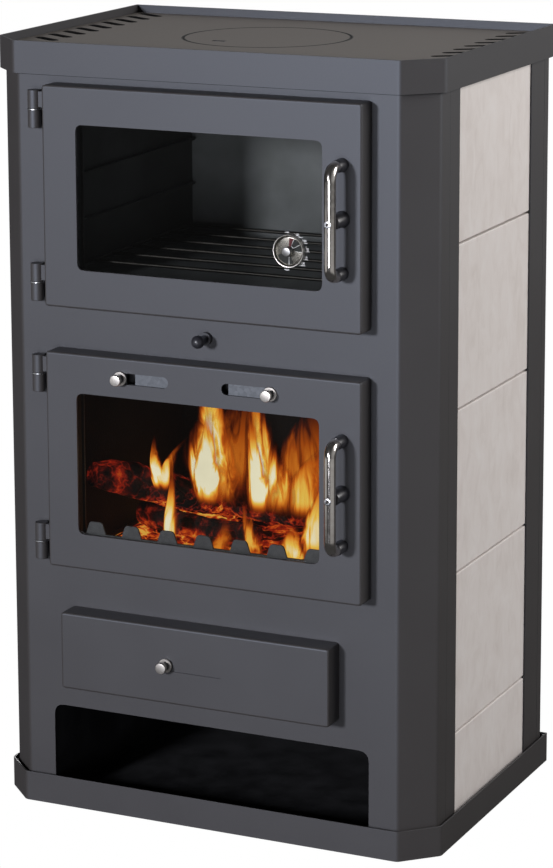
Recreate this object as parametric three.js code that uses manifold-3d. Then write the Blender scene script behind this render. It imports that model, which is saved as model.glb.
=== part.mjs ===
// A wood-burning stove with an oven above the firebox.
// A folded steel casing with tiled sides stands in a tray-shaped plinth and carries a recessed
// hob plate. Two glazed doors hang on weld-on barrel hinges, and an ash drawer and an open log
// store lie below them.
// Lengths are millimetres, +Z is up and +X is to the right of someone who faces the doors from
// the -Y side. The origin is on the floor under the middle of the casing.
import * as THREE from 'three';
import { mergeVertices } from 'three/addons/utils/BufferGeometryUtils.js';
import Module from 'manifold-3d';

const wasm = await Module();
wasm.setup();

// Driving dimensions of the casing
const stoveWidth = 592;
const stoveDepth = 412;
const stoveHeight = 970;
const cornerLeg = 41;
const bendRadius = 9;
const bodyInset = 7;
const plinthHeight = 38;
const trayHeight = 40;
const trayWall = 3;
const hobRecess = 10;
const sheet = 2;
const fit = 0.3;
const overrun = 5;

// Driving dimensions of the front: the doors share the height that the bands and the log store
// leave, and each opening's width follows from its margins to the casing's sides
const doorProud = 30;
const doorLeftMargin = 93;
const doorRightMargin = 79;
const doorHeadroom = 9;
const damperBand = 56;
const drawerBand = 58;
const logBand = 34;
const logOpeningHeight = 122.7;
const logOpeningMargin = 81;
const logSill = 6;
const drawerHeight = 98;
const drawerProud = 32;
const drawerLeftMargin = 109;
const drawerRightMargin = 120;
const windowRadius = 9;
const ovenWindowMargins = { left: 46, right: 50, above: 46, below: 48 };
const fireWindowMargins = { left: 42, right: 54, above: 49, below: 45 };

// Driving dimensions of the welded body inside the casing
const convectionGap = 57;
const rearGap = 27;
const plate = 4;

// Places that several pieces share
const frontFace = -stoveDepth / 2 + bodyInset;
const backFace = stoveDepth / 2 - bodyInset;
const sideFace = stoveWidth / 2 - bodyInset;
const panelBack = frontFace + sheet;
const casingBottom = sheet + fit;
const trayBottom = stoveHeight - trayHeight;
const casingTop = trayBottom - fit;
const hobTop = stoveHeight - hobRecess;
const bodyHalf = sideFace - convectionGap;
const bodyBack = backFace - rearGap;
const doorWidth = stoveWidth - doorLeftMargin - doorRightMargin;
const doorLeft = -stoveWidth / 2 + doorLeftMargin;
const drawerWidth = stoveWidth - drawerLeftMargin - drawerRightMargin;
const drawerLeft = -stoveWidth / 2 + drawerLeftMargin;
const logTop = casingBottom + logSill + logOpeningHeight;
const drawerBottom = logTop + logBand;
const drawerTop = drawerBottom + drawerHeight;
const fireDoorBottom = drawerTop + drawerBand;
const doorHeight = (trayBottom - doorHeadroom - damperBand - fireDoorBottom) / 2;
const fireDoorTop = fireDoorBottom + doorHeight;
const ovenDoorBottom = fireDoorTop + damperBand;

const finishes = {
  paint: { color: 0x54575d, roughness: 0.55, metalness: 0.3 },
  blackSheet: { color: 0x1d1d1f, roughness: 0.8, metalness: 0.2 },
  castIron: { color: 0x605c57, roughness: 0.6, metalness: 0.5 },
  tile: { color: 0xbdb4ac, roughness: 0.35, metalness: 0 },
  chrome: { color: 0xd8d2cc, roughness: 0.12, metalness: 1 },
  steel: { color: 0x8c8c8c, roughness: 0.4, metalness: 0.9 },
  glass: { color: 0x2a2c2c, roughness: 0.05, metalness: 0, transparent: true, opacity: 0.35 },
  rope: { color: 0x4a4a48, roughness: 1, metalness: 0 },
  firebrick: { color: 0x8d7f68, roughness: 0.95, metalness: 0 },
  bakelite: { color: 0x2b2b2f, roughness: 0.35, metalness: 0 },
  needle: { color: 0x6e2a2a, roughness: 0.5, metalness: 0 },
};

// Shapes and solids

function roundedShape(corners, radius = 0) {
  const shape = new THREE.Shape();
  corners.forEach(([x, y, ownRadius = radius], index) => {
    const corner = new THREE.Vector2(x, y);
    const before = new THREE.Vector2(...corners.at(index - 1)).sub(corner);
    const after = new THREE.Vector2(...corners[(index + 1) % corners.length]).sub(corner);
    const turn = Math.PI - before.angleTo(after);
    const setback = ownRadius * Math.tan(turn / 2);
    const start = corner.clone().add(before.setLength(setback));
    const end = corner.clone().add(after.setLength(setback));
    if (index) shape.lineTo(start.x, start.y);
    else shape.moveTo(start.x, start.y);
    if (ownRadius) shape.quadraticCurveTo(x, y, end.x, end.y);
  });
  shape.closePath();
  return shape;
}

function rectangle(x0, x1, z0, z1) {
  return { x0, x1, z0, z1 };
}

function grow(rect, by) {
  return rectangle(rect.x0 - by, rect.x1 + by, rect.z0 - by, rect.z1 + by);
}

function shift(rect, dx, dz) {
  return rectangle(rect.x0 + dx, rect.x1 + dx, rect.z0 + dz, rect.z1 + dz);
}

function outlineOf(rect, radius = 0) {
  return roundedShape([
    [rect.x0, rect.z0], [rect.x1, rect.z0], [rect.x1, rect.z1], [rect.x0, rect.z1],
  ], radius);
}

function ringOf(outer, inner, outerRadius = 0, innerRadius = 0) {
  const shape = outlineOf(outer, outerRadius);
  shape.holes.push(outlineOf(inner, innerRadius));
  return shape;
}

function circle(x, y, radius) {
  return new THREE.Shape().absarc(x, y, radius, 0, 2 * Math.PI);
}

function upward(shape, z0, z1, curveSegments = 4) {
  return new THREE.ExtrudeGeometry(shape, { depth: z1 - z0, bevelEnabled: false, curveSegments })
    .translate(0, 0, z0);
}

function backward(shape, y0, y1, curveSegments = 4) {
  return new THREE.ExtrudeGeometry(shape, { depth: y1 - y0, bevelEnabled: false, curveSegments })
    .rotateX(Math.PI / 2)
    .translate(0, y1, 0);
}

function block(x0, x1, y0, y1, z0, z1) {
  return new THREE.BoxGeometry(x1 - x0, y1 - y0, z1 - z0)
    .translate((x0 + x1) / 2, (y0 + y1) / 2, (z0 + z1) / 2);
}

function rodAlongX(radius, x0, x1, y, z, sides = 8) {
  return new THREE.CylinderGeometry(radius, radius, x1 - x0, sides)
    .rotateZ(Math.PI / 2)
    .translate((x0 + x1) / 2, y, z);
}

function rodAlongY(radius, y0, y1, x, z, sides = 16) {
  return new THREE.CylinderGeometry(radius, radius, y1 - y0, sides)
    .translate(x, (y0 + y1) / 2, z);
}

function rodAlongZ(radius, z0, z1, x, y, sides = 16) {
  return new THREE.CylinderGeometry(radius, radius, z1 - z0, sides)
    .rotateX(Math.PI / 2)
    .translate(x, y, (z0 + z1) / 2);
}

// A turned piece on the Y axis, from a profile of [radius, y] points.
function turned(profile, segments = 24) {
  const points = profile.map(([radius, y]) => new THREE.Vector2(radius, y));
  if (THREE.ShapeUtils.area(points) < 0) points.reverse();
  const closed = points[0].x > 0 ? [...points, points[0].clone()] : points;
  return new THREE.LatheGeometry(closed, segments);
}

function solidOf(geometry) {
  const bare = geometry.clone();
  bare.deleteAttribute('normal');
  bare.deleteAttribute('uv');
  const merged = mergeVertices(bare);
  const triangles = [];
  for (let i = 0; i < merged.index.count; i += 3) {
    const [a, b, c] = [merged.index.getX(i), merged.index.getX(i + 1), merged.index.getX(i + 2)];
    if (a !== b && b !== c && c !== a) triangles.push(a, b, c);
  }
  return new wasm.Manifold(new wasm.Mesh({
    numProp: 3,
    vertProperties: merged.attributes.position.array,
    triVerts: new Uint32Array(triangles),
  }));
}

function geometryOf(solid) {
  const mesh = solid.getMesh();
  const geometry = new THREE.BufferGeometry();
  geometry.setAttribute('position', new THREE.BufferAttribute(mesh.vertProperties, 3));
  geometry.setIndex(new THREE.BufferAttribute(mesh.triVerts, 1));
  const faceted = geometry.toNonIndexed();
  faceted.computeVertexNormals();
  return faceted;
}

function unite(...geometries) {
  return geometryOf(geometries.map(solidOf).reduce((whole, next) => whole.add(next)));
}

function subtract(geometry, ...cutters) {
  return geometryOf(cutters.map(solidOf).reduce((whole, next) => whole.subtract(next), solidOf(geometry)));
}

function intersect(geometry, other) {
  return geometryOf(solidOf(geometry).intersect(solidOf(other)));
}

function piece(name, geometry, finish, x = 0, y = 0, z = 0) {
  const mesh = new THREE.Mesh(geometry, new THREE.MeshStandardMaterial(finishes[finish]));
  mesh.name = name;
  mesh.position.set(x, y, z);
  return mesh;
}

function assembly(x, y, z, ...children) {
  const group = new THREE.Group();
  group.position.set(x, y, z);
  group.add(...children);
  return group;
}

// The four bends of the front corners, set in from the outline of the plinth

function cornerPoints(inset) {
  const x = stoveWidth / 2 - inset;
  const front = -stoveDepth / 2 + inset;
  const leg = cornerLeg - inset * (2 - Math.SQRT2);
  return [
    [-x, front + leg, bendRadius],
    [-x + leg, front, bendRadius],
    [x - leg, front, bendRadius],
    [x, front + leg, bendRadius],
  ];
}

function planOutline(inset) {
  const x = stoveWidth / 2 - inset;
  const back = stoveDepth / 2 - inset;
  return roundedShape([...cornerPoints(inset), [x, back, 0], [-x, back, 0]]);
}

// Plinth and top tray

function baseTray() {
  const tray = subtract(
    upward(planOutline(0), 0, plinthHeight),
    upward(planOutline(sheet), sheet, plinthHeight + overrun),
  );
  return piece('base_tray', tray, 'paint');
}

function topTray() {
  const ledge = bodyInset + sheet;
  const tray = subtract(
    upward(planOutline(0), 0, trayHeight),
    upward(planOutline(trayWall), sheet, trayHeight + overrun),
    upward(planOutline(ledge), -overrun, trayHeight + overrun),
  );
  return piece('top_tray', tray, 'paint', 0, 0, trayBottom);
}

// Hob plate, cast with a skirt that stands on the welded body, and its lift-out hot plate

const hobThickness = 8;
const hobEdgeGap = 1;
const skirtWall = 6;
const hotPlateRadius = 104.5;
const hotPlateX = -16;
const hotPlateY = 16;
const hotPlateGap = 0.5;
const hotPlateStep = 7;
const hotPlateRebate = 5;
const ventRows = 9;
const ventLength = 50;
const ventWidth = 13;
const ventInset = 33;
const ventSetback = 102;
const ventRearGap = 26;
const ventSlant = THREE.MathUtils.degToRad(32);
const skirtBottom = trayBottom + sheet;

function ventSlot(side, row) {
  const reach = (ventLength - ventWidth) / 2;
  const radius = ventWidth / 2;
  const slot = new THREE.Shape()
    .absarc(reach, 0, radius, -Math.PI / 2, Math.PI / 2)
    .absarc(-reach, 0, radius, Math.PI / 2, Math.PI * 3 / 2);
  const x = stoveWidth / 2 - ventInset;
  const pitch = (stoveDepth - ventSetback - ventRearGap) / (ventRows - 1);
  const y = -stoveDepth / 2 + ventSetback + row * pitch;
  return upward(slot, -overrun, hobThickness + overrun, 2)
    .rotateZ(side * ventSlant)
    .translate(side * x, y, 0);
}

function hobPlate() {
  const deck = upward(planOutline(trayWall + hobEdgeGap), 0, hobThickness);
  const skirt = upward(
    ringOf(
      rectangle(-bodyHalf, bodyHalf, panelBack + fit, bodyBack),
      rectangle(-bodyHalf + skirtWall, bodyHalf - skirtWall, panelBack + skirtWall, bodyBack - skirtWall),
    ),
    skirtBottom - hobTop + hobThickness,
    hobThickness / 2,
  );
  const hole = hotPlateRadius + hotPlateGap;
  const cutters = [
    upward(circle(hotPlateX, hotPlateY, hole), hobThickness - hotPlateRebate, hobThickness + overrun, 24),
    upward(circle(hotPlateX, hotPlateY, hole - hotPlateStep), -overrun, hobThickness + overrun, 24),
  ];
  for (const side of [-1, 1]) {
    for (let row = 0; row < ventRows; row += 1) cutters.push(ventSlot(side, row));
  }
  const casting = subtract(unite(deck, skirt), ...cutters);
  return piece('hob_plate', casting, 'castIron', 0, 0, hobTop - hobThickness);
}

function hotPlate() {
  const notchLength = 17;
  const notchWidth = 8;
  const notchRadiusShare = 0.67;
  const notchAngle = THREE.MathUtils.degToRad(236);
  const rebate = hotPlateRebate - fit;
  const disc = unite(
    upward(circle(0, 0, hotPlateRadius), -rebate, 0, 24),
    upward(circle(0, 0, hotPlateRadius - hotPlateStep), -hobThickness, -rebate / 2, 24),
  );
  const notch = block(
    -notchLength / 2, notchLength / 2, -notchWidth / 2, notchWidth / 2, -hobThickness - overrun, overrun,
  ).translate(
    Math.cos(notchAngle) * hotPlateRadius * notchRadiusShare,
    Math.sin(notchAngle) * hotPlateRadius * notchRadiusShare,
    0,
  );
  return piece('hot_plate', subtract(disc, notch), 'castIron', hotPlateX, hotPlateY, hobTop);
}

// Openings in the front panel, set by what closes them

function windowWithin(margins) {
  return rectangle(margins.left, doorWidth - margins.right, margins.below, doorHeight - margins.above);
}

const openingMargin = 6;
const ovenWindow = windowWithin(ovenWindowMargins);
const fireWindow = windowWithin(fireWindowMargins);
const ovenMouth = shift(grow(ovenWindow, openingMargin), doorLeft, ovenDoorBottom);
const fireMouth = shift(grow(fireWindow, openingMargin), doorLeft, fireDoorBottom);
const panInset = 19;
const panLeft = drawerLeft + panInset;
const panWidth = drawerWidth - 2 * panInset;
const panClearance = 4;
const panRise = 12;
const panFloor = drawerBottom + panRise;
const panHeight = 66;
const ashMouth = rectangle(
  panLeft - panClearance,
  panLeft + panWidth + panClearance,
  panFloor - panClearance / 2,
  panFloor + panHeight + panClearance,
);
const logRadius = 14;
const logHalf = stoveWidth / 2 - logOpeningMargin;
const logMouth = rectangle(-logHalf, logHalf, casingBottom + logSill, logTop);

// Damper rod, which slides through a bush welded to the front panel

const damperX = 2;
const damperZ = fireDoorTop + damperBand / 2;
const damperRodRadius = 4;
const damperBushRadius = 8;
const damperBushLength = 6;

// Front panel: one sheet with the corners and the side returns folded in it

const panelReturn = 27;
const cornerEnd = frontFace + cornerLeg - bodyInset * (2 - Math.SQRT2);
const returnEnd = cornerEnd + panelReturn;

function frontPanel() {
  const outer = cornerPoints(bodyInset);
  const inner = cornerPoints(bodyInset + sheet).reverse();
  const fold = roundedShape([
    [-sideFace, returnEnd, 0],
    ...outer,
    [sideFace, returnEnd, 0],
    [sideFace - sheet, returnEnd, 0],
    ...inner,
    [-sideFace + sheet, returnEnd, 0],
  ]);
  const bush = rodAlongY(damperBushRadius, frontFace - damperBushLength, panelBack, damperX, damperZ, 24);
  const through = [frontFace - damperBushLength - overrun, panelBack + overrun];
  const logCut = roundedShape([
    [logMouth.x0, logMouth.z0, 0],
    [logMouth.x1, logMouth.z0, 0],
    [logMouth.x1, logMouth.z1, logRadius],
    [logMouth.x0, logMouth.z1, logRadius],
  ]);
  const panel = subtract(
    unite(upward(fold, casingBottom, casingTop), bush),
    backward(outlineOf(ovenMouth, windowRadius), ...through),
    backward(outlineOf(fireMouth, windowRadius), ...through),
    backward(outlineOf(ashMouth, panClearance), ...through),
    backward(logCut, ...through),
    rodAlongY(damperRodRadius + fit, ...through, damperX, damperZ, 16),
  );
  return piece('front_panel', panel, 'paint');
}

// Side casings: lipped channels that the tiles are dropped into from above

const tileThickness = 9.4;
const tileLap = 12;
const tileHeight = 200;
const tileJoint = 2.4;
const tileRows = 5;
const firstTileHeight = 130;
const tileEdge = 1;
const frontLip = 31;
const rearLip = 46;
const backReturn = 15;
const joggleLap = 14;
const tileFront = returnEnd + frontLip;
const tileBack = backFace - backReturn - rearLip;
const channelInner = sideFace - 2 * sheet - 2 * fit - tileThickness;

function sideCasing(name, side) {
  const lipInner = sideFace - sheet;
  const joggleInner = lipInner - sheet - fit;
  const front = returnEnd + fit;
  const back = backFace - backReturn - fit;
  const strips = [
    [lipInner, sideFace, front, tileFront],
    [lipInner, sideFace, tileBack, back],
    [channelInner, sideFace, tileFront - tileLap - sheet, tileFront - tileLap],
    [channelInner, sideFace, tileBack + tileLap, tileBack + tileLap + sheet],
    [channelInner, channelInner + sheet, tileFront - tileLap - sheet, tileBack + tileLap + sheet],
    [joggleInner, sideFace, front, front + sheet],
    [joggleInner, joggleInner + sheet, front - joggleLap, front + sheet],
    [joggleInner, sideFace, back - sheet, back],
    [joggleInner, joggleInner + sheet, back - sheet, back + joggleLap - sheet],
  ];
  const walls = strips.map(([x0, x1, y0, y1]) => {
    const [low, high] = side > 0 ? [x0, x1] : [-x1, -x0];
    return block(low, high, y0, y1, casingBottom, casingTop);
  });
  return piece(name, unite(...walls), 'paint');
}

function tile(name, side, row) {
  const width = tileBack - tileFront + 2 * (tileLap - fit);
  const bottom = row ? casingBottom + firstTileHeight + tileJoint + (row - 1) * (tileHeight + tileJoint)
    : casingBottom;
  const heights = [firstTileHeight, ...Array(tileRows - 2).fill(tileHeight), casingTop - fit - bottom];
  const height = heights[row];
  const face = outlineOf(rectangle(tileEdge, width - tileEdge, tileEdge, height - tileEdge));
  const slab = new THREE.ExtrudeGeometry(face, {
    depth: tileThickness - 2 * tileEdge,
    bevelThickness: tileEdge,
    bevelSize: tileEdge,
    bevelSegments: 1,
  })
    .translate(0, 0, tileEdge)
    .applyMatrix4(new THREE.Matrix4().makeBasis(
      new THREE.Vector3(0, 1, 0), new THREE.Vector3(0, 0, 1), new THREE.Vector3(1, 0, 0),
    ));
  const inner = channelInner + sheet + fit;
  const x = side > 0 ? inner : -inner - tileThickness;
  return piece(name, slab, 'tile', x, tileFront - tileLap + fit, bottom);
}

// Flue collar, bolted to the back of the welded body

const flueRadius = 60;
const flueWall = 3;
const flueFlange = 18;
const flueReach = 50;
const flueGap = 2;
const flueZ = trayBottom - flueRadius - flueFlange - sheet;

function flueCollar() {
  const start = bodyBack + fit;
  const end = backFace + flueReach;
  const collar = turned([
    [flueRadius - flueWall, start],
    [flueRadius + flueFlange, start],
    [flueRadius + flueFlange, start + plate],
    [flueRadius, start + plate],
    [flueRadius, end],
    [flueRadius - flueWall, end],
  ], 28);
  return piece('flue_collar', collar, 'blackSheet', 0, 0, flueZ);
}

// Back panel with its side returns and a row of air slots

function backPanel() {
  const slotCount = 8;
  const slotLength = 40;
  const slotWidth = 8;
  const slotPitch = 58;
  const slotRise = 95;
  const through = [backFace - sheet - overrun, backFace + overrun];
  const cutters = [
    backward(circle(0, flueZ, flueRadius + flueGap), ...through, 16),
  ];
  for (let i = 0; i < slotCount; i += 1) {
    const x = (i - (slotCount - 1) / 2) * slotPitch;
    const slot = rectangle(x - slotLength / 2, x + slotLength / 2, slotRise, slotRise + slotWidth);
    cutters.push(backward(outlineOf(slot, slotWidth / 3), ...through, 1));
  }
  const tray = subtract(
    block(-sideFace, sideFace, backFace - backReturn, backFace, casingBottom, casingTop),
    block(
      -sideFace + sheet, sideFace - sheet, backFace - backReturn - overrun, backFace - sheet,
      casingBottom - overrun, casingTop + overrun,
    ),
    ...cutters,
  );
  return piece('back_panel', tray, 'paint');
}

// Log store: a bin of thin sheet whose roof reaches out to the side casings as a shelf

const binSheet = 1.5;
const binRearGap = 22;
const binClearance = 1;
const shelfTop = logTop + binClearance + sheet;

function logBin() {
  const x0 = logMouth.x0 - binClearance;
  const x1 = logMouth.x1 + binClearance;
  const y0 = panelBack + fit;
  const y1 = backFace - sheet - binRearGap;
  const shelfHalf = channelInner - fit;
  const shelf = intersect(
    upward(planOutline(bodyInset + sheet + fit), shelfTop - sheet, shelfTop),
    block(-shelfHalf, shelfHalf, y0, backFace - sheet - fit, shelfTop - 2 * sheet, shelfTop + sheet),
  );
  const bin = unite(
    shelf,
    block(x0 - binSheet, x1 + binSheet, y0, y1, casingBottom, casingBottom + binSheet),
    block(x0 - binSheet, x0, y0, y1, casingBottom, shelfTop - sheet / 2),
    block(x1, x1 + binSheet, y0, y1, casingBottom, shelfTop - sheet / 2),
    block(x0 - binSheet, x1 + binSheet, y1 - binSheet, y1, casingBottom, shelfTop - sheet / 2),
  );
  return piece('log_bin', bin, 'blackSheet');
}

// Welded body: the walls around the ash space, firebox and smoke path, open to the front and top

const hearthDrop = 38;
const hearthThickness = 10;
const hearthTop = fireMouth.z0 - hearthDrop;
const bodyLedge = 12;
const roofDrop = 17;
const roofTop = damperZ - roofDrop;
const bodyFront = panelBack + fit;

function weldedBody() {
  const inner = bodyHalf - plate;
  const bottom = shelfTop + fit;
  const top = skirtBottom - fit;
  const ledgeTop = hearthTop - hearthThickness - fit;
  const floorTop = panFloor;
  const shell = unite(
    block(-bodyHalf, -inner, bodyFront, bodyBack, bottom, top),
    block(inner, bodyHalf, bodyFront, bodyBack, bottom, top),
    block(-bodyHalf, bodyHalf, bodyBack - plate, bodyBack, bottom, top),
    block(-bodyHalf, bodyHalf, bodyFront, bodyBack, floorTop - plate, floorTop),
    block(-bodyHalf, -inner + bodyLedge, bodyFront, bodyBack, ledgeTop - plate, ledgeTop),
    block(inner - bodyLedge, bodyHalf, bodyFront, bodyBack, ledgeTop - plate, ledgeTop),
  );
  const through = [bodyBack - plate - overrun, bodyBack + overrun];
  const flue = backward(circle(0, flueZ, flueRadius - flueWall), ...through, 16);
  return piece('welded_body', subtract(shell, flue), 'blackSheet');
}

// Hearth: cast floor of the firebox, with the grate dropped into it

const grateWidth = 244;
const grateDepth = 204;
const grateThickness = 7;
const grateLedge = 10;
const grateY = -20;

function hearth() {
  const half = bodyHalf - plate - fit;
  const grateFront = grateY - grateDepth / 2;
  const opening = rectangle(-grateWidth / 2, grateWidth / 2, grateFront, grateFront + grateDepth);
  const floor = subtract(
    block(-half, half, bodyFront + fit, bodyBack - plate - fit, -hearthThickness, 0),
    upward(outlineOf(opening), -grateThickness, overrun),
    upward(outlineOf(grow(opening, -grateLedge)), -hearthThickness - overrun, overrun),
  );
  return piece('hearth', floor, 'castIron', 0, 0, hearthTop);
}

function grate() {
  const slotCount = 11;
  const slotShare = 0.5;
  const rim = 14;
  const bridge = 10;
  const width = grateWidth - 2 * fit;
  const depth = grateDepth - 2 * fit;
  const pitch = (width - 2 * rim) / slotCount;
  const slotWidth = pitch * slotShare;
  const slots = [];
  for (let i = 0; i < slotCount; i += 1) {
    const x = -width / 2 + rim + (i + 1 / 2) * pitch;
    for (const [y0, y1] of [[-depth / 2 + rim, -bridge / 2], [bridge / 2, depth / 2 - rim]]) {
      slots.push(block(x - slotWidth / 2, x + slotWidth / 2, y0, y1, -grateThickness - overrun, overrun));
    }
  }
  const casting = subtract(
    block(-width / 2, width / 2, -depth / 2, depth / 2, -grateThickness + fit, 0),
    ...slots,
  );
  return piece('grate', casting, 'castIron', 0, grateY, hearthTop);
}

// Firebricks on three sides, and the smoke shelf that rests on them

const brickThickness = 30;
const brickSetback = 6;
const roofFrontGap = 46;

function brick(name, width, depth, x, y) {
  const height = roofTop - plate - fit - hearthTop - fit;
  const edge = 2;
  const outline = outlineOf(rectangle(0, width, 0, depth), edge);
  return piece(name, upward(outline, 0, height, 1), 'firebrick', x, y, hearthTop + fit);
}

function firebricks() {
  const inner = bodyHalf - plate - fit;
  const backWall = bodyBack - plate - fit;
  const front = bodyFront + brickSetback;
  const sideDepth = backWall - brickThickness - fit - front;
  return [
    brick('firebrick_left', brickThickness, sideDepth, -inner, front),
    brick('firebrick_right', brickThickness, sideDepth, inner - brickThickness, front),
    brick('firebrick_back', 2 * inner, brickThickness, -inner, backWall - brickThickness),
  ];
}

const damperHoleWidth = 110;
const damperHoleDepth = 80;
const damperHoleSetback = 38;
const damperPlateLap = 14;
const damperHoleBack = bodyBack - plate - damperHoleSetback;

function smokeShelf() {
  const half = bodyHalf - plate - fit;
  const shape = outlineOf(rectangle(-half, half, bodyFront + roofFrontGap, bodyBack - plate - fit));
  shape.holes.push(outlineOf(rectangle(
    damperX - damperHoleWidth / 2, damperX + damperHoleWidth / 2,
    damperHoleBack - damperHoleDepth, damperHoleBack,
  )));
  return piece('smoke_shelf', upward(shape, -plate, 0), 'blackSheet', 0, 0, roofTop);
}

// Damper: ball knob, and a rod welded to the plate that slides over the hole in the shelf

const damperReach = 24;
const ballRadius = 8;

function damper() {
  const plateHalf = damperHoleWidth / 2 + damperPlateLap;
  const plateFront = damperHoleBack - damperHoleDepth - damperPlateLap;
  const plateBack = damperHoleBack + damperPlateLap;
  const lugFront = plateFront + damperPlateLap;
  const lugHalf = damperRodRadius;
  const plateLow = roofTop + fit - damperZ;
  const rodEnd = lugFront + plate;
  const rod = unite(
    rodAlongY(damperRodRadius, frontFace - damperReach, rodEnd, 0, 0, 12),
    block(-plateHalf, plateHalf, plateFront, plateBack, plateLow, plateLow + sheet),
    block(-lugHalf, lugHalf, lugFront, rodEnd, plateLow, 0),
  );
  const neckRadius = ballRadius * 2 / 3;
  const neckEnd = damperReach - damperBushLength - fit;
  const bore = damperRodRadius + fit;
  const profile = [[0, -ballRadius]];
  const arcSteps = 8;
  const arcEnd = Math.PI / 4;
  for (let i = 1; i <= arcSteps; i += 1) {
    const angle = -Math.PI / 2 + (arcEnd + Math.PI / 2) * i / arcSteps;
    profile.push([ballRadius * Math.cos(angle), ballRadius * Math.sin(angle)]);
  }
  profile.push([neckRadius, neckEnd], [bore, neckEnd], [bore, -fit], [0, -fit]);
  return [
    piece('damper_rod', rod, 'steel', damperX, 0, damperZ),
    piece('damper_ball', turned(profile, 16), 'bakelite', damperX, frontFace - damperReach, damperZ),
  ];
}

// Oven: a sheet box with three pairs of runners, and a wire rack on the lowest pair

const cavityMargin = 18;
const smokeGap = 42;
const runnerWidth = 7;
const runnerHeight = 3;
const runnerLevels = 3;
const runnerFirst = 15;
const runnerHeadroom = 83;
const rackWire = 2.6;
const rackSideGap = 2;
const rackBars = 6;
const rackFrontGap = 34;
const rackRearGap = 22;
const cavity = grow(shift(ovenWindow, doorLeft, ovenDoorBottom), cavityMargin);
const ovenBack = bodyBack - plate - smokeGap;
const ovenBackInner = ovenBack - sheet;
const runnerPitch = (cavity.z1 - cavity.z0 - runnerFirst - runnerHeadroom) / (runnerLevels - 1);

function ovenBox() {
  const walls = grow(cavity, sheet);
  const box = subtract(
    backward(outlineOf(walls), bodyFront, ovenBack),
    backward(outlineOf(cavity), bodyFront - overrun, ovenBackInner),
  );
  const runners = [];
  for (let level = 0; level < runnerLevels; level += 1) {
    const z = cavity.z0 + runnerFirst + level * runnerPitch;
    for (const [x0, x1] of [[walls.x0, cavity.x0 + runnerWidth], [cavity.x1 - runnerWidth, walls.x1]]) {
      runners.push(block(x0, x1, bodyFront + overrun, ovenBackInner - overrun, z - runnerHeight, z));
    }
  }
  return piece('oven_box', unite(box, ...runners), 'blackSheet');
}

function ovenRack() {
  const x0 = cavity.x0 + rackSideGap + rackWire;
  const x1 = cavity.x1 - rackSideGap - rackWire;
  const y0 = bodyFront + rackFrontGap;
  const y1 = ovenBackInner - rackRearGap;
  const wires = [rodAlongY(rackWire, y0, y1, x0, 0, 8), rodAlongY(rackWire, y0, y1, x1, 0, 8)];
  for (let i = 0; i < rackBars; i += 1) {
    const y = y0 + i * (y1 - y0) / (rackBars - 1);
    wires.push(rodAlongX(rackWire, x0 - rackWire, x1 + rackWire, y, 0));
  }
  return piece('oven_rack', unite(...wires), 'chrome', 0, 0, cavity.z0 + runnerFirst + fit + rackWire);
}

// Hinges: the lower barrel is welded to the front panel and carries the pin and its washer.
// The upper barrel is welded to the door and drops over the pin.

const hingeReach = 19;
const hingeStandoff = 13;
const barrelRadius = 8;
const barrelLength = 22.2;
const washerRadius = 8.8;
const washerThickness = 1.6;
const pinRadius = 4;
const pinLength = 19;
const weldWidth = 6;
const lowerHingeInset = 3;
const upperHingeInset = 9;
const hingeHeight = 2 * barrelLength + washerThickness + fit;
const hingeHeights = [lowerHingeInset, doorHeight - upperHingeInset - hingeHeight];

function lowerBarrel(name, doorBottom, height) {
  const pinTop = barrelLength + washerThickness + pinLength;
  const barrel = unite(
    rodAlongZ(barrelRadius, 0, barrelLength, 0, 0, 20),
    rodAlongZ(washerRadius, barrelLength - fit, barrelLength + washerThickness, 0, 0, 20),
    rodAlongZ(pinRadius, 0, pinTop, 0, 0),
    block(-weldWidth / 2, weldWidth / 2, 0, hingeStandoff - fit, 0, barrelLength - washerThickness),
  );
  return piece(name, barrel, 'paint', doorLeft - hingeReach, frontFace - hingeStandoff, doorBottom + height);
}

// The barrel is made in the door's frame: x from its hinge edge, y from the panel's face
function upperBarrel(height) {
  const low = height + barrelLength + washerThickness + fit;
  const high = low + barrelLength;
  const axis = [-hingeReach, -hingeStandoff];
  const bore = rodAlongZ(pinRadius + fit, low - overrun, low + pinLength + fit, ...axis);
  const barrel = unite(
    rodAlongZ(barrelRadius, low, high, ...axis, 20),
    block(
      -hingeReach, sheet, -hingeStandoff - weldWidth / 2, -hingeStandoff + weldWidth / 2,
      low + washerThickness, high - washerThickness,
    ),
  );
  return subtract(barrel, bore);
}

// Door pans, which the drawer front shares: a pressed front with rounded edges, open at the back

const panWall = 2.5;
const frontPlate = 3;
const panEdge = 3;
const panCorner = 1.5;
const panBackGap = 1;

function pressedPan(width, height, proud, faceThickness) {
  const face = outlineOf(rectangle(panEdge, width - panEdge, panEdge, height - panEdge), panCorner);
  const crowned = new THREE.ExtrudeGeometry(face, {
    depth: proud,
    bevelThickness: panEdge,
    bevelSize: panEdge,
    bevelSegments: 3,
    curveSegments: 2,
  })
    .rotateX(Math.PI / 2)
    .translate(0, panEdge, 0);
  const hollow = backward(
    outlineOf(rectangle(panWall, width - panWall, panWall, height - panWall), panEdge - panWall),
    -proud + faceThickness,
    proud,
    2,
  );
  const behind = block(-overrun, width + overrun, -panBackGap, proud, -overrun, height + overrun);
  return subtract(crowned, hollow, behind);
}

// Air slots are cut through a pan and closed by a slider behind it

const slotHeight = 14;
const knobShaft = 4;
const sliderLap = 4;

function slotShape(x0, x1, z) {
  const radius = slotHeight / 2;
  return new THREE.Shape()
    .absarc(x1 - radius, z, radius, -Math.PI / 2, Math.PI / 2)
    .absarc(x0 + radius, z, radius, Math.PI / 2, Math.PI * 3 / 2);
}

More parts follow.
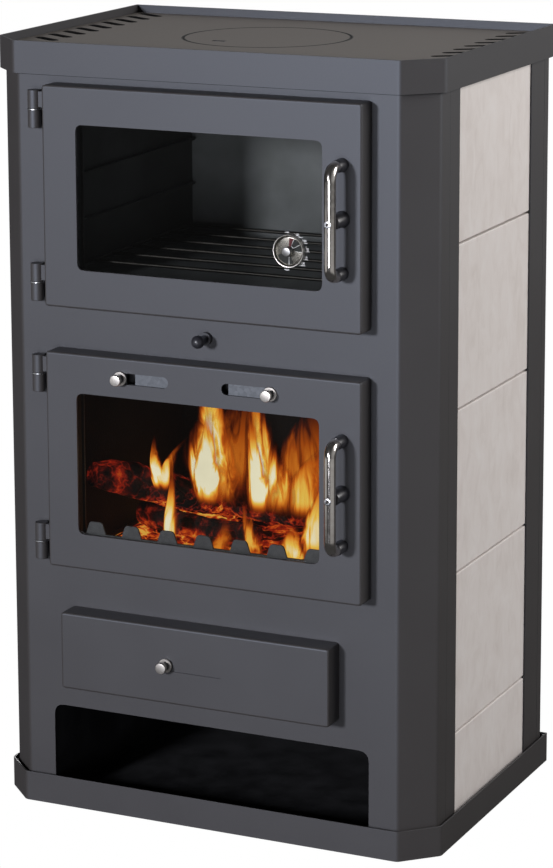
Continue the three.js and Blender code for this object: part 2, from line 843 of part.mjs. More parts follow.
function slider(name, wall, plateRange, knobX, vent) {
  const y0 = wall + fit;
  const y1 = y0 + sheet;
  const half = slotHeight / 2 + sliderLap;
  const shape = outlineOf(rectangle(...plateRange, -half, half), sliderLap / 2);
  shape.holes.push(circle(knobX, 0, knobShaft + fit));
  if (vent) shape.holes.push(outlineOf(rectangle(...vent, -slotHeight / 2, slotHeight / 2)));
  return piece(name, backward(shape, y0, y1, 6), 'paint');
}

// Air knob: a hexagon head on a turned neck, with a washer that slides on the pan's face
function airKnob(name, wall, x) {
  const washer = 9;
  const washerStep = 2;
  const neck = 5.6;
  const neckLength = 8;
  const hexRadius = 7.4;
  const hexHeight = 5;
  const face = -fit;
  const tail = wall + fit + sheet + fit;
  const neckEnd = face - washerStep - neckLength;
  const body = turned([
    [0, neckEnd],
    [neck, neckEnd],
    [neck, face - washerStep],
    [washer - washerStep / 2, face - washerStep],
    [washer, face - washerStep / 2],
    [washer, face],
    [knobShaft, face],
    [knobShaft, tail],
    [0, tail],
  ], 16);
  const head = rodAlongY(hexRadius, neckEnd - hexHeight, neckEnd + hexHeight / 4, 0, 0, 6);
  return piece(name, unite(body, head), 'chrome', x);
}

// Doors, made from the hinge edge, the panel's face and the door's lower edge

const glassLap = 8;
const glassThickness = 4;
const sealDepth = 13;
const collarGap = 5.5;
const collarRound = windowRadius / 3;
const sealWidth = 10;
const ribHeight = 6;
const notchWidth = 24;
const notchDepth = 4;
const handleInset = 24;
const spindleRadius = 5;
const doorFront = -doorProud;
const glassFront = doorFront + frontPlate + fit;
const glassBack = glassFront + glassThickness;
const linerBack = -sealDepth;
const linerFront = linerBack - sheet;
const handleX = doorWidth - handleInset;
const handleZ = doorHeight / 2;

function doorShell(name, window, slots) {
  const through = [doorFront - overrun, glassFront];
  const shell = subtract(
    pressedPan(doorWidth, doorHeight, doorProud, frontPlate),
    backward(outlineOf(window, windowRadius), ...through),
    rodAlongY(spindleRadius + fit, ...through, handleX, handleZ),
    ...slots.map((ends) => backward(slotShape(...ends), ...through, 5)),
  );
  return piece(name, unite(shell, ...hingeHeights.map(upperBarrel)), 'paint');
}

// The liner's collar reaches the back of the glass. Notches in the collar's top let the air from
// behind the front plate run down over the glass.
function doorLiner(name, window, notchCount) {
  const collarInner = grow(window, collarGap);
  const collarOuter = grow(collarInner, sheet);
  const collarFront = glassBack + fit;
  const sealOuter = grow(collarOuter, sealWidth + 2 * fit);
  const ribOuter = grow(sealOuter, sheet);
  const ribBack = linerBack + ribHeight;
  const edge = panWall + fit;
  const plateOuter = rectangle(edge, doorWidth - edge, edge, doorHeight - edge);
  const round = panEdge - panWall;
  const liner = unite(
    backward(ringOf(plateOuter, collarInner, round, collarRound), linerFront, linerBack, 2),
    backward(ringOf(collarOuter, collarInner, collarRound + sheet, collarRound), collarFront, ribBack, 2),
    backward(ringOf(ribOuter, sealOuter, windowRadius, windowRadius), linerFront, ribBack, 2),
  );
  const cutters = [rodAlongY(spindleRadius + fit, linerFront - overrun, ribBack, handleX, handleZ)];
  const notchPitch = (window.x1 - window.x0) / (notchCount + 1);
  for (let i = 1; i <= notchCount; i += 1) {
    const x = window.x0 + i * notchPitch;
    cutters.push(block(
      x - notchWidth / 2, x + notchWidth / 2, collarFront - overrun, collarFront + notchDepth,
      collarInner.z1 - sheet / 2, collarOuter.z1 + sheet / 2,
    ));
  }
  return piece(name, subtract(liner, ...cutters), 'blackSheet');
}

function doorGlass(name, window, holes) {
  const shape = outlineOf(grow(window, glassLap), glassLap / 2);
  for (const [x, z, radius] of holes) shape.holes.push(circle(x, z, radius));
  return piece(name, backward(shape, glassFront, glassBack, 6), 'glass');
}

// Rope seal, pressed against the panel around the mouth
function doorSeal(name, window) {
  const round = sealWidth / 3;
  const inner = grow(window, collarGap + sheet + fit);
  const shape = ringOf(
    grow(inner, sealWidth - round), grow(inner, round), windowRadius, collarRound + sheet,
  );
  const y0 = linerBack + fit;
  const seal = new THREE.ExtrudeGeometry(shape, {
    depth: -fit - y0 - 2 * round,
    bevelThickness: round,
    bevelSize: round,
    bevelSegments: 2,
    curveSegments: 2,
  })
    .rotateX(Math.PI / 2)
    .translate(0, -fit - round, 0);
  return piece(name, seal, 'rope');
}

// Handle: a bow of bent tube on a spindle that carries the latch arm inside the door

const bowSpacing = 128;
const bowReach = 36;
const bowRadius = 7;
const bowBend = 15;
const ferruleRadius = 8;
const ferruleLength = 20;
const bowEndGap = 1;
const screwRadius = 3.4;
const latchLength = 20;
const latchThickness = 4;
const latchBackGap = 3.5;

function bow(name) {
  const half = bowSpacing / 2;
  const path = new THREE.CurvePath();
  const corners = [
    [-bowEndGap, half], [-bowReach + bowBend, half], [-bowReach, half],
    [-bowReach, half - bowBend], [-bowReach, -half + bowBend], [-bowReach, -half],
    [-bowReach + bowBend, -half], [-bowEndGap, -half],
  ].map(([y, z]) => new THREE.Vector3(0, y, z));
  path.add(new THREE.LineCurve3(corners[0], corners[1]));
  path.add(new THREE.QuadraticBezierCurve3(corners[1], corners[2], corners[3]));
  path.add(new THREE.LineCurve3(corners[3], corners[4]));
  path.add(new THREE.QuadraticBezierCurve3(corners[4], corners[5], corners[6]));
  path.add(new THREE.LineCurve3(corners[6], corners[7]));
  const tube = new THREE.ExtrudeGeometry(circle(0, 0, bowRadius), {
    steps: 28,
    curveSegments: 5,
    extrudePath: path,
  });
  const ferrules = [half, -half].map((z) => rodAlongY(
    ferruleRadius, -bowEndGap - ferruleLength, -bowEndGap, 0, z, 12,
  ));
  const crossHole = rodAlongY(screwRadius + fit, -bowReach - 2 * bowRadius, 0, 0, 0, 12);
  return piece(name, subtract(unite(tube, ...ferrules), crossHole), 'chrome');
}

function spindle(name) {
  const tubeBack = -bowReach + bowRadius;
  const tubeFront = -bowReach - bowRadius;
  const headRadius = screwRadius * 4 / 3;
  const headHeight = 1;
  const neckRadius = 7;
  const flareRadius = 10;
  const head = tubeFront - fit;
  const tail = doorProud - latchBackGap;
  const shaft = turned([
    [0, head - headHeight],
    [headRadius, head - headHeight],
    [headRadius, head],
    [screwRadius, head],
    [screwRadius, tubeBack + fit],
    [neckRadius, tubeBack + fit],
    [flareRadius, -fit],
    [spindleRadius, -fit],
    [spindleRadius, tail],
    [0, tail],
  ], 16);
  const arm = block(0, latchLength, tail - latchThickness, tail, -spindleRadius, spindleRadius);
  return piece(name, unite(shaft, arm), 'bakelite');
}

// Keeper: a bracket on the panel whose lip catches the latch arm as the handle is turned
function keeper(name, doorBottom) {
  const armClearance = 2;
  const left = latchLength / 4;
  const right = latchLength - fit;
  const lipBack = -latchBackGap - latchThickness - armClearance / 2;
  const lipFront = lipBack - sheet;
  const footBottom = latchLength + armClearance;
  const bracket = unite(
    block(left, right, -sheet - fit, -fit, footBottom, footBottom + latchLength * 3 / 4),
    block(left, right, lipFront, -fit, footBottom, footBottom + sheet),
    block(left, right, lipFront, lipBack, spindleRadius + armClearance, footBottom + sheet),
  );
  return piece(name, bracket, 'steel', doorLeft + handleX, frontFace, doorBottom + handleZ);
}

function handle(prefix) {
  const pieces = [bow(`${prefix}_handle_bow`), spindle(`${prefix}_handle_spindle`)];
  return assembly(handleX, doorFront, handleZ, ...pieces);
}

// Thermometer in the oven door's glass

const dialInset = 42;
const dialRise = 45.5;
const dialX = ovenWindow.x1 - dialInset;
const dialZ = ovenWindow.z0 + dialRise;
const dialRadius = 19.5;
const dialStem = 4;
const dialHub = 6;
const dialFloor = 3.5;
const dialDepth = 6.8;
const needleThickness = 0.8;
const needleAngle = THREE.MathUtils.degToRad(14);

function thermometer() {
  const rim = 1.9;
  const nutRadius = 9;
  const nutThickness = 3;
  const hubProud = 1.7;
  const hubBevel = 1;
  const dial = turned([
    [0, -dialDepth - hubProud],
    [dialHub - hubBevel, -dialDepth - hubProud],
    [dialHub, -dialDepth],
    [dialHub, -dialFloor],
    [dialRadius - rim, -dialFloor],
    [dialRadius - rim, -dialDepth],
    [dialRadius - rim / 2, -dialDepth - rim / 3],
    [dialRadius, -dialDepth + rim / 2],
    [dialRadius, -fit],
    [dialStem, -fit],
    [dialStem, glassThickness + fit],
    [nutRadius, glassThickness + fit],
    [nutRadius, glassThickness + fit + nutThickness],
    [0, glassThickness + fit + nutThickness],
  ], 24);
  return piece('thermometer', dial, 'chrome');
}

function thermometerNeedle() {
  const ringWidth = 2;
  const tipGap = 4;
  const tip = dialRadius - tipGap;
  const inner = dialHub + fit;
  const ring = circle(0, 0, inner + ringWidth);
  ring.holes.push(circle(0, 0, inner));
  const y1 = -dialFloor - fit;
  const blade = roundedShape([
    [-ringWidth / 2, inner + ringWidth / 2], [ringWidth / 2, inner + ringWidth / 2],
    [ringWidth / 4, tip], [-ringWidth / 4, tip],
  ]);
  const needle = unite(
    backward(ring, y1 - needleThickness, y1, 8),
    backward(blade, y1 - needleThickness, y1),
  ).rotateY(needleAngle);
  return piece('thermometer_needle', needle, 'needle');
}

function ovenDoor() {
  return assembly(
    doorLeft, frontFace, ovenDoorBottom,
    doorShell('oven_door_shell', ovenWindow, []),
    doorLiner('oven_door_liner', ovenWindow, 0),
    doorGlass('oven_door_glass', ovenWindow, [[dialX, dialZ, dialStem + fit]]),
    doorSeal('oven_door_seal', ovenWindow),
    assembly(dialX, glassFront, dialZ, thermometer(), thermometerNeedle()),
    handle('oven'),
  );
}

// Fire door, with a toothed log guard behind the glass and two air sliders above it

const airSlotDrop = 25;
const airSlotNear = 35.5;
const airSlotFar = 107;
const airGap = 8;
const ventStart = 7;
const ventEnd = 18.5;
const sliderTail = 11;
const airNotches = 5;
const stoveCentre = -doorLeft;
const fireKnobs = [-airSlotFar + slotHeight / 2, airSlotFar - slotHeight / 2];

function logGuard() {
  const toothCount = 7;
  const toothBase = 27;
  const toothTip = 17;
  const toothHeight = 15;
  const toothRound = 5;
  const thickness = 2.5;
  const firstGap = 4.5;
  const lastLap = 1.5;
  const valleyDrop = 1;
  const valley = fireWindow.z0 - valleyDrop;
  const seat = grow(fireWindow, collarGap - fit);
  const firstTooth = fireWindow.x0 + firstGap + toothBase / 2;
  const toothPitch = (fireWindow.x1 + lastLap - toothBase / 2 - firstTooth) / (toothCount - 1);
  const corners = [
    [seat.x0, seat.z0, collarRound], [seat.x1, seat.z0, collarRound], [seat.x1, valley, 0],
  ];
  for (let i = toothCount - 1; i >= 0; i -= 1) {
    const x = firstTooth + i * toothPitch;
    corners.push(
      [x + toothBase / 2, valley, 0],
      [x + toothTip / 2, valley + toothHeight, toothRound],
      [x - toothTip / 2, valley + toothHeight, toothRound],
      [x - toothBase / 2, valley, 0],
    );
  }
  corners.push([seat.x0, valley, 0]);
  const back = linerFront - fit;
  return piece('log_guard', backward(roundedShape(corners), back - thickness, back, 3), 'paint');
}

function airSliders() {
  const [left, right] = fireKnobs;
  const plates = [
    slider('left_air_slider', frontPlate, [left - sliderTail, -airSlotNear + sliderLap], left, [
      left + ventStart, left + ventEnd,
    ]),
    slider('right_air_slider', frontPlate, [airSlotNear + airGap, right + sliderTail], right),
  ];
  const knobs = [
    airKnob('left_air_knob', frontPlate, left),
    airKnob('right_air_knob', frontPlate, right),
  ];
  return assembly(stoveCentre, doorFront, doorHeight - airSlotDrop, ...plates, ...knobs);
}

function fireDoor() {
  const z = doorHeight - airSlotDrop;
  const slots = [
    [stoveCentre - airSlotFar, stoveCentre - airSlotNear, z],
    [stoveCentre + airSlotNear, stoveCentre + airSlotFar, z],
  ];
  return assembly(
    doorLeft, frontFace, fireDoorBottom,
    doorShell('fire_door_shell', fireWindow, slots),
    doorLiner('fire_door_liner', fireWindow, airNotches),
    doorGlass('fire_door_glass', fireWindow, []),
    doorSeal('fire_door_seal', fireWindow),
    logGuard(),
    airSliders(),
    handle('fire'),
  );
}

// Ash drawer: a pressed front with its own air slider, and a sheet pan that slides on the body's floor

const drawerPlate = 1.5;
const ashSlotLength = 86;
const panSheet = 1.5;
const panRearGap = 67;
const panSetback = 7;
const lugWidth = 6;
const lugInset = 24;

function drawerFront() {
  const front = -drawerProud;
  const centre = drawerWidth / 2;
  const slot = slotShape(centre - ashSlotLength / 2, centre + ashSlotLength / 2, drawerHeight / 2);
  const shell = subtract(
    pressedPan(drawerWidth, drawerHeight, drawerProud, drawerPlate),
    backward(slot, front - overrun, front + drawerPlate + fit, 5),
  );
  const lugs = [-1, 1].map((side) => {
    const x = centre + side * (panWidth / 2 - lugInset);
    return block(
      x - lugWidth / 2, x + lugWidth / 2, front + drawerPlate / 2, front + panSetback - fit,
      drawerHeight / 4, drawerHeight * 3 / 4,
    );
  });
  return piece('ash_drawer_front', unite(shell, ...lugs), 'paint');
}

function ashPan() {
  const x0 = panInset;
  const x1 = x0 + panWidth;
  const y0 = -drawerProud + panSetback;
  const y1 = bodyBack - plate - panRearGap - frontFace;
  const pan = subtract(
    block(x0, x1, y0, y1, 0, panHeight),
    block(x0 + panSheet, x1 - panSheet, y0 + panSheet, y1 - panSheet, panSheet, panHeight + overrun),
  );
  return piece('ash_pan', pan, 'blackSheet', 0, 0, panFloor + fit - drawerBottom);
}

function ashDrawer() {
  const knobX = -ashSlotLength / 2 + slotHeight / 2;
  const plateRange = [knobX - sliderTail, ashSlotLength / 2 + sliderLap];
  return assembly(
    drawerLeft, frontFace, drawerBottom,
    drawerFront(),
    ashPan(),
    assembly(
      drawerWidth / 2, -drawerProud, drawerHeight / 2,
      slider('ash_air_slider', drawerPlate, plateRange, knobX),
      airKnob('ash_air_knob', drawerPlate, knobX),
    ),
  );
}

// The whole stove

function tiles() {
  const sides = [['left', -1], ['right', 1]];
  return sides.flatMap(([label, side]) => Array.from({ length: tileRows }, (_, row) => (
    tile(`tile_${label}_${row + 1}`, side, row)
  )));
}

function hinges() {
  const doors = [['oven', ovenDoorBottom], ['fire', fireDoorBottom]];
  return doors.flatMap(([label, bottom]) => ['lower', 'upper'].map((place, index) => (
    lowerBarrel(`${label}_hinge_${place}`, bottom, hingeHeights[index])
  )));
}

const stove = new THREE.Group();
stove.add(
  baseTray(),
  frontPanel(),
  sideCasing('side_casing_left', -1),
  sideCasing('side_casing_right', 1),
  backPanel(),
  ...tiles(),
  topTray(),
  logBin(),
  weldedBody(),
  flueCollar(),
  hearth(),
  grate(),
  ...firebricks(),
  smokeShelf(),
  ...damper(),
  ovenBox(),
  ovenRack(),
  hobPlate(),
  hotPlate(),
  ...hinges(),
  keeper('oven_latch_keeper', ovenDoorBottom),
  keeper('fire_latch_keeper', fireDoorBottom),
  ovenDoor(),
  fireDoor(),
  ashDrawer(),
);

export default stove;
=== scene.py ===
import math

import bmesh
import bpy
from mathutils import Matrix, Vector, noise


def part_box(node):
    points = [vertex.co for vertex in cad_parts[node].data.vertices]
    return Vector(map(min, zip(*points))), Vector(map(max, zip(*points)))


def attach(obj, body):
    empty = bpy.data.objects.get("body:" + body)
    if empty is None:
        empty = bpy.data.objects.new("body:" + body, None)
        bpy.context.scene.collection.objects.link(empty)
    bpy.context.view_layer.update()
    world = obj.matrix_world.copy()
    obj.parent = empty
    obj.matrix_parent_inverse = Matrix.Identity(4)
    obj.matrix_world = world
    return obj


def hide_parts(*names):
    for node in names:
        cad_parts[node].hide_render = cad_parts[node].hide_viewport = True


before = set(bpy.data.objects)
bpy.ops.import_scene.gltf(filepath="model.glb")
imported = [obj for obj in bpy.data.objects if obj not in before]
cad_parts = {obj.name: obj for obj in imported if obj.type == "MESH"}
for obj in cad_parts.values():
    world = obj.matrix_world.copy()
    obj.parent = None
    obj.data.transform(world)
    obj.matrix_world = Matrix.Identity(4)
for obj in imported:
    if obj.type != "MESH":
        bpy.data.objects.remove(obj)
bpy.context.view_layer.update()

# Camera: it stands to the right of the stove at head height and looks slightly down, with a
# long lens, so the edges converge only a little.
eye = Vector((1.63281, -3.5315, 1.42868))
yaw, pitch, roll = -0.453019, 0.190218, 0.007068
focal_px, centre_px, picture_px = 3158.24, (212.5, 262.0), (553, 868)
ahead = Vector((math.sin(yaw) * math.cos(pitch), math.cos(yaw) * math.cos(pitch), -math.sin(pitch)))
across = Vector((math.cos(yaw), -math.sin(yaw), 0))
down = ahead.cross(across)
right = across * math.cos(roll) + down * math.sin(roll)
down = -across * math.sin(roll) + down * math.cos(roll)
lens = bpy.data.cameras.new("camera")
lens.lens = focal_px * lens.sensor_width / picture_px[1]
lens.shift_x = (picture_px[0] / 2 - centre_px[0]) / picture_px[1]
lens.shift_y = (centre_px[1] - picture_px[1] / 2) / picture_px[1]
camera = bpy.data.objects.new("camera", lens)
camera.matrix_world = Matrix.Translation(eye) @ Matrix((right, -down, -ahead)).transposed().to_4x4()
bpy.context.scene.collection.objects.link(camera)
bpy.context.scene.camera = camera
bpy.context.scene.view_settings.view_transform = "Standard"


# Studio: a plain pale floor in a dim room with a white backdrop behind. A small cool lamp far in
# front and to the left is the key and casts the handles' shadows, a weak one low in front fills,
# a plain one stands at the right side, a little to the back, and a low one lights the back.
def tone(colour):
    """The linear colour of an sRGB hex value."""
    channels = [int(colour[i:i + 2], 16) / 255 for i in (1, 3, 5)]
    return (*[c / 12.92 if c <= 0.04045 else ((c + 0.055) / 1.055) ** 2.4 for c in channels], 1.0)


def add(tree, kind, values=None, stops=(), **settings):
    """Adds a node to a tree, with its settings, its values and the sockets that feed it."""
    node = tree.nodes.new("ShaderNode" + kind)
    for name, value in settings.items():
        setattr(node, name, value)
    for i, (place, colour) in enumerate(stops):
        ramp = node.color_ramp.elements
        stop = ramp[i] if i < 2 else ramp.new(place)
        stop.position = place
        stop.color = tone(colour)
    for name, value in (values or {}).items():
        if isinstance(value, bpy.types.NodeSocket):
            tree.links.new(value, node.inputs[name])
        else:
            node.inputs[name].default_value = value
    return node


world = bpy.data.worlds.new("surround")
bpy.context.scene.world = world
world.use_nodes = True
tree = world.node_tree
surround = tree.nodes["Background"]
surround.inputs["Color"].default_value = tone("#ffffff")
path = add(tree, "LightPath")
# The backdrop is bright behind the stove, there is a pale wall to the right that is seen in
# reflections, and the rest of the room is dim
ways = add(tree, "SeparateXYZ", {"Vector": add(tree, "TexCoord").outputs["Generated"]})
behind = add(tree, "MapRange", {
    "Value": ways.outputs["Y"], "From Min": 0.5, "From Max": 0.95, "To Min": 0.04, "To Max": 0.5,
})
beside = add(tree, "MapRange", {
    "Value": ways.outputs["X"], "From Min": 0.4, "From Max": 0.95, "To Max": 0.3,
})
beside = add(tree, "Math", {0: beside.outputs[0], 1: path.outputs["Is Glossy Ray"]}, operation="MULTIPLY")
level = add(tree, "Math", {0: behind.outputs[0], 1: beside.outputs[0]}, operation="MAXIMUM")
level = add(tree, "Math", {0: level.outputs[0], 1: path.outputs["Is Camera Ray"]}, operation="MAXIMUM")
tree.links.new(level.outputs[0], surround.inputs["Strength"])

floor_mesh = bpy.data.meshes.new("floor")
half = 6
floor_mesh.from_pydata(
    [(-half, -half, 0), (half, -half, 0), (half, half, 0), (-half, half, 0)], [], [(0, 1, 2, 3)],
)
floor = bpy.data.objects.new("floor", floor_mesh)
bpy.context.scene.collection.objects.link(floor)
# The bright parts are seen only by the camera and in reflections: white under the stove, and
# two light patches left and right of the camera, which draw the bands on the plating.
floor_paint = bpy.data.materials.new("pale floor paint")
floor_paint.use_nodes = True
tree = floor_paint.node_tree
shader = tree.nodes["Principled BSDF"]
shader.inputs["Base Color"].default_value = tone("#747474")
shader.inputs["Roughness"].default_value = 0.9
spot = add(tree, "TexCoord").outputs["Object"]
ways = add(tree, "SeparateXYZ", {"Vector": spot})
towards = add(tree, "Math", {0: ways.outputs["Y"], 1: -1.0}, operation="MULTIPLY")
bearing = add(tree, "Math", {0: ways.outputs["X"], 1: towards.outputs[0]}, operation="ARCTAN2").outputs[0]
away = add(tree, "VectorMath", {0: spot}, operation="LENGTH").outputs["Value"]
near_edge = add(tree, "MapRange", {"Value": away, "From Min": 1.2, "From Max": 1.7}).outputs[0]
far_edge = add(tree, "MapRange", {"Value": away, "From Min": 5.2, "From Max": 4.5}).outputs[0]
ring = add(tree, "Math", {0: near_edge, 1: far_edge}, operation="MULTIPLY").outputs[0]
patches = []
for start, rise, end, fall, level in ((-1.45, 0.2, -0.55, 0.08, 0.5), (0.42, 0.2, 1.9, 0.3, 0.36)):
    rising = add(tree, "MapRange", {
        "Value": bearing, "From Min": start, "From Max": start + rise, "To Max": level,
    })
    falling = add(tree, "MapRange", {"Value": bearing, "From Min": end, "From Max": end - fall})
    shape = add(tree, "Math", {0: rising.outputs[0], 1: falling.outputs[0]}, operation="MULTIPLY")
    patches.append(add(tree, "Math", {0: shape.outputs[0], 1: ring}, operation="MULTIPLY"))
path = add(tree, "LightPath")
level = add(tree, "Math", {0: patches[0].outputs[0], 1: patches[1].outputs[0]}, operation="ADD")
dimmest = 0.05
level = add(tree, "Math", {0: level.outputs[0], 1: dimmest}, operation="MAXIMUM")
level = add(tree, "Math", {0: level.outputs[0], 1: path.outputs["Is Camera Ray"]}, operation="MAXIMUM")
white = add(tree, "Emission", {"Color": tone("#ffffff"), "Strength": level.outputs[0]})
seen = add(tree, "Math", {
    0: path.outputs["Is Camera Ray"], 1: path.outputs["Is Glossy Ray"],
}, operation="MAXIMUM")
mix = add(tree, "MixShader", {"Fac": seen.outputs[0], 1: shader.outputs[0], 2: white.outputs[0]})
tree.links.new(mix.outputs[0], tree.nodes["Material Output"].inputs["Surface"])
floor_mesh.materials.append(floor_paint)

aim_height = 0.5
for name, azimuth, height, reach, size, power, colour in (
    ("front_lamp", -13.1, 1.84, 6.21, 0.7, 355, "#f4f6ff"),
    ("low_lamp", 6, 0.3, 3.4, 1.0, 40, "#f4f6ff"),
    ("side_lamp", 108, 1.8, 2.8, 1.4, 66, "#fffdfc"),
    ("back_lamp", 212, 0.5, 4.5, 0.8, 90, "#fffdfc"),
):
    lamp = bpy.data.lights.new(name, "AREA")
    lamp.size = size
    lamp.energy = power
    lamp.color = tone(colour)[:3]
    holder = bpy.data.objects.new(name, lamp)
    angle = math.radians(azimuth)
    holder.location = (reach * math.sin(angle), -reach * math.cos(angle), height)
    aim = Vector((0, 0, aim_height)) - holder.location
    holder.rotation_euler = aim.to_track_quat("-Z", "Y").to_euler()
    bpy.context.scene.collection.objects.link(holder)


# Plinth: a folded sheet-steel tray with cut front corners, which the casing stands in.
# It is sprayed with slate-grey silicone stove paint and baked: matte, with a fine grain.
# A thin band of the paint just under the lip of the top tray is drawn black and dull: a painted shadow of
# the lip.
MM = 0.001


def begin(name):
    """A new material, its node tree, its main shader and the place of each point on the piece."""
    material = bpy.data.materials.new(name)
    material.use_nodes = True
    tree = material.node_tree
    return material, tree, tree.nodes["Principled BSDF"], add(tree, "TexCoord").outputs["Object"]


def surface(tree, shader, pattern, colours=(), rough=None, span=(0.0, 1.0), relief=None):
    """Lets a pattern set a colour, a roughness over a span of it, and a relief [strength, mm]."""
    if colours:
        colour = add(tree, "ValToRGB", {"Fac": pattern}, colours)
        tree.links.new(colour.outputs["Color"], shader.inputs["Base Color"])
    if rough:
        dulled = add(tree, "MapRange", {
            "Value": pattern, "From Min": span[0], "From Max": span[1],
            "To Min": rough[0], "To Max": rough[1],
        })
        tree.links.new(dulled.outputs[0], shader.inputs["Roughness"])
    if relief:
        bump = add(tree, "Bump", {"Height": pattern, "Strength": relief[0], "Distance": relief[1] * MM})
        tree.links.new(bump.outputs[0], shader.inputs["Normal"])


stove_paint, tree, shader, place = begin("baked silicone stove paint")
# Spray grain is about 0.3 mm on the real paint, drawn at 1.5 mm so that it shows
grain = add(tree, "TexNoise", {"Vector": place, "Scale": 1 / (1.5 * MM), "Detail": 3.0}).outputs["Fac"]
# Clouds from the passes of the spray gun, about 90 mm wide
cloud = add(tree, "TexNoise", {"Vector": place, "Scale": 1 / (90 * MM), "Detail": 2.0}).outputs["Fac"]
blend = add(tree, "Math", {0: grain, 1: 0.35, 2: 0.32}, operation="MULTIPLY_ADD").outputs[0]
blend = add(tree, "Math", {0: cloud, 1: 0.3, 2: blend}, operation="MULTIPLY_ADD").outputs[0]
colour = add(tree, "ValToRGB", {"Fac": blend}, [(0.3, "#332f2d"), (0.95, "#3f3c3a")])
height = add(tree, "SeparateXYZ", {"Vector": place}).outputs["Z"]
# Painted shadow: a 1.5 mm band just under the lip of the top tray is black and dull, on every piece in this
# paint
shade_line_middle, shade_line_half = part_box("top_tray")[0].z - 0.7 * MM, 0.75 * MM
painted_shade_line = add(tree, "Math", {0: height, 1: shade_line_middle, 2: shade_line_half}, operation="COMPARE").outputs[0]
colour_with_painted_shade = add(tree, "Mix", {
    "Factor": painted_shade_line, 6: colour.outputs["Color"], 7: tone("#0a0a0b"),
}, data_type="RGBA")
tree.links.new(colour_with_painted_shade.outputs[2], shader.inputs["Base Color"])
gloss = add(tree, "MapRange", {"Value": painted_shade_line, "To Min": 0.62, "To Max": 0.1})
tree.links.new(gloss.outputs[0], shader.inputs["Specular IOR Level"])
surface(tree, shader, blend, rough=(0.46, 0.54), span=(0.3, 0.95))
surface(tree, shader, grain, relief=(0.12, 0.15))
# The paint's reflections are tinted blue: a painted cool sheen
shader.inputs["Specular Tint"].default_value = (0.76, 0.85, 1.0, 1.0)


def dress(node, material, edge):
    """Finishes a CAD node: joins its facets, breaks its edges by that many mm, shades it smooth."""
    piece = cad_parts[node]
    mesh = piece.data
    for name in ("custom_normal", "sharp_edge", "sharp_face"):
        if name in mesh.attributes:
            mesh.attributes.remove(mesh.attributes[name])
    for polygon in mesh.polygons:
        polygon.use_smooth = True
    weld = piece.modifiers.new("joined facets", "WELD")
    weld.merge_threshold = 0.01 * MM
    flats = piece.modifiers.new("flat faces", "DECIMATE")
    flats.decimate_type = "DISSOLVE"
    flats.angle_limit = math.radians(0.3)
    broken = piece.modifiers.new("broken edges", "BEVEL")
    broken.width = edge * MM
    broken.segments = 2
    broken.limit_method = "ANGLE"
    broken.angle_limit = math.radians(32)
    broken.harden_normals = True
    # Keeps the large faces flat and the shading of a fold on its narrow faces
    shading = piece.modifiers.new("flat shading", "WEIGHTED_NORMAL")
    shading.weight = 80
    shading.keep_sharp = True
    mesh.materials.clear()
    mesh.materials.append(material)


dress("base_tray", stove_paint, 0.6)

# Front panel: one sheet with both 45-degree corners folded in it on a 9 mm die, and the bush
# of the damper welded on. Same stove paint.
dress("front_panel", stove_paint, 0.5)

# Side casings and back panel: lipped channels that hold the tiles, and the rear cover with its
# air slots. Folded sheet in the same paint.
for node in ("side_casing_left", "side_casing_right", "back_panel"):
    dress(node, stove_paint, 0.5)

# Side tiles: pressed earthenware slabs with a cream glaze, veined from top to bottom as
# travertine is, fired to a soft satin. Each tile has its own veins.
glazed_tile, tree, shader, place = begin("satin glazed earthenware")
own = add(tree, "ObjectInfo").outputs["Random"]
shifted = add(tree, "VectorMath", {0: place, 1: own}, operation="ADD").outputs[0]
# Veins are 22 mm wide and twice as long
tall = add(tree, "Mapping", {"Vector": shifted, "Scale": (1, 1, 0.5)}).outputs[0]
vein = add(tree, "TexNoise", {
    "Vector": tall, "Scale": 1 / (22 * MM), "Detail": 5.0, "Roughness": 0.6, "Distortion": 0.8,
}).outputs["Fac"]
patch = add(tree, "TexNoise", {"Vector": shifted, "Scale": 1 / (60 * MM), "Detail": 2.0}).outputs["Fac"]
blend = add(tree, "Math", {0: vein, 1: 0.65, 2: 0}, operation="MULTIPLY_ADD").outputs[0]
blend = add(tree, "Math", {0: patch, 1: 0.35, 2: blend}, operation="MULTIPLY_ADD").outputs[0]
creams = [(0.3, "#d3cbc6"), (0.5, "#ded7d3"), (0.75, "#e6e1de")]
surface(tree, shader, blend, creams, rough=(0.42, 0.3), span=(0.3, 0.7), relief=(0.15, 0.4))
for side in ("left", "right"):
    for row in range(1, 6):
        dress(f"tile_{side}_{row}", glazed_tile, 0.5)

# Top tray: the folded rim that stands up round the hob, in the same paint as the casing.
dress("top_tray", stove_paint, 0.5)

# Log store, welded body, smoke shelf and flue collar: black sheet and plate, sprayed with plain
# matte heat-proof paint that dulls everything to soot black.
black_sheet, tree, shader, place = begin("matte black heat-proof paint")
# Dust and handling marks, about 40 mm wide
dust = add(tree, "TexNoise", {"Vector": place, "Scale": 1 / (40 * MM), "Detail": 4.0}).outputs["Fac"]
blacks = [(0.35, "#1a1a1b"), (0.75, "#29292b")]
surface(tree, shader, dust, blacks, rough=(0.55, 0.8), span=(0.3, 0.8), relief=(0.1, 0.3))
shader.inputs["Specular IOR Level"].default_value = 0.3
for node in ("log_bin", "welded_body", "smoke_shelf", "flue_collar"):
    dress(node, black_sheet, 0.4)

# Oven box: folded and welded sheet with three pairs of runners, fired with a dark grey enamel that has a
# soft shine and is a little cloudy with old fat. Faces that look towards +x, the inside of the left wall
# among them, are drawn nearly black: painted shade, as the light through the window does not reach the left
# wall.
oven_enamel, tree, shader, place = begin("dark grey vitreous enamel")
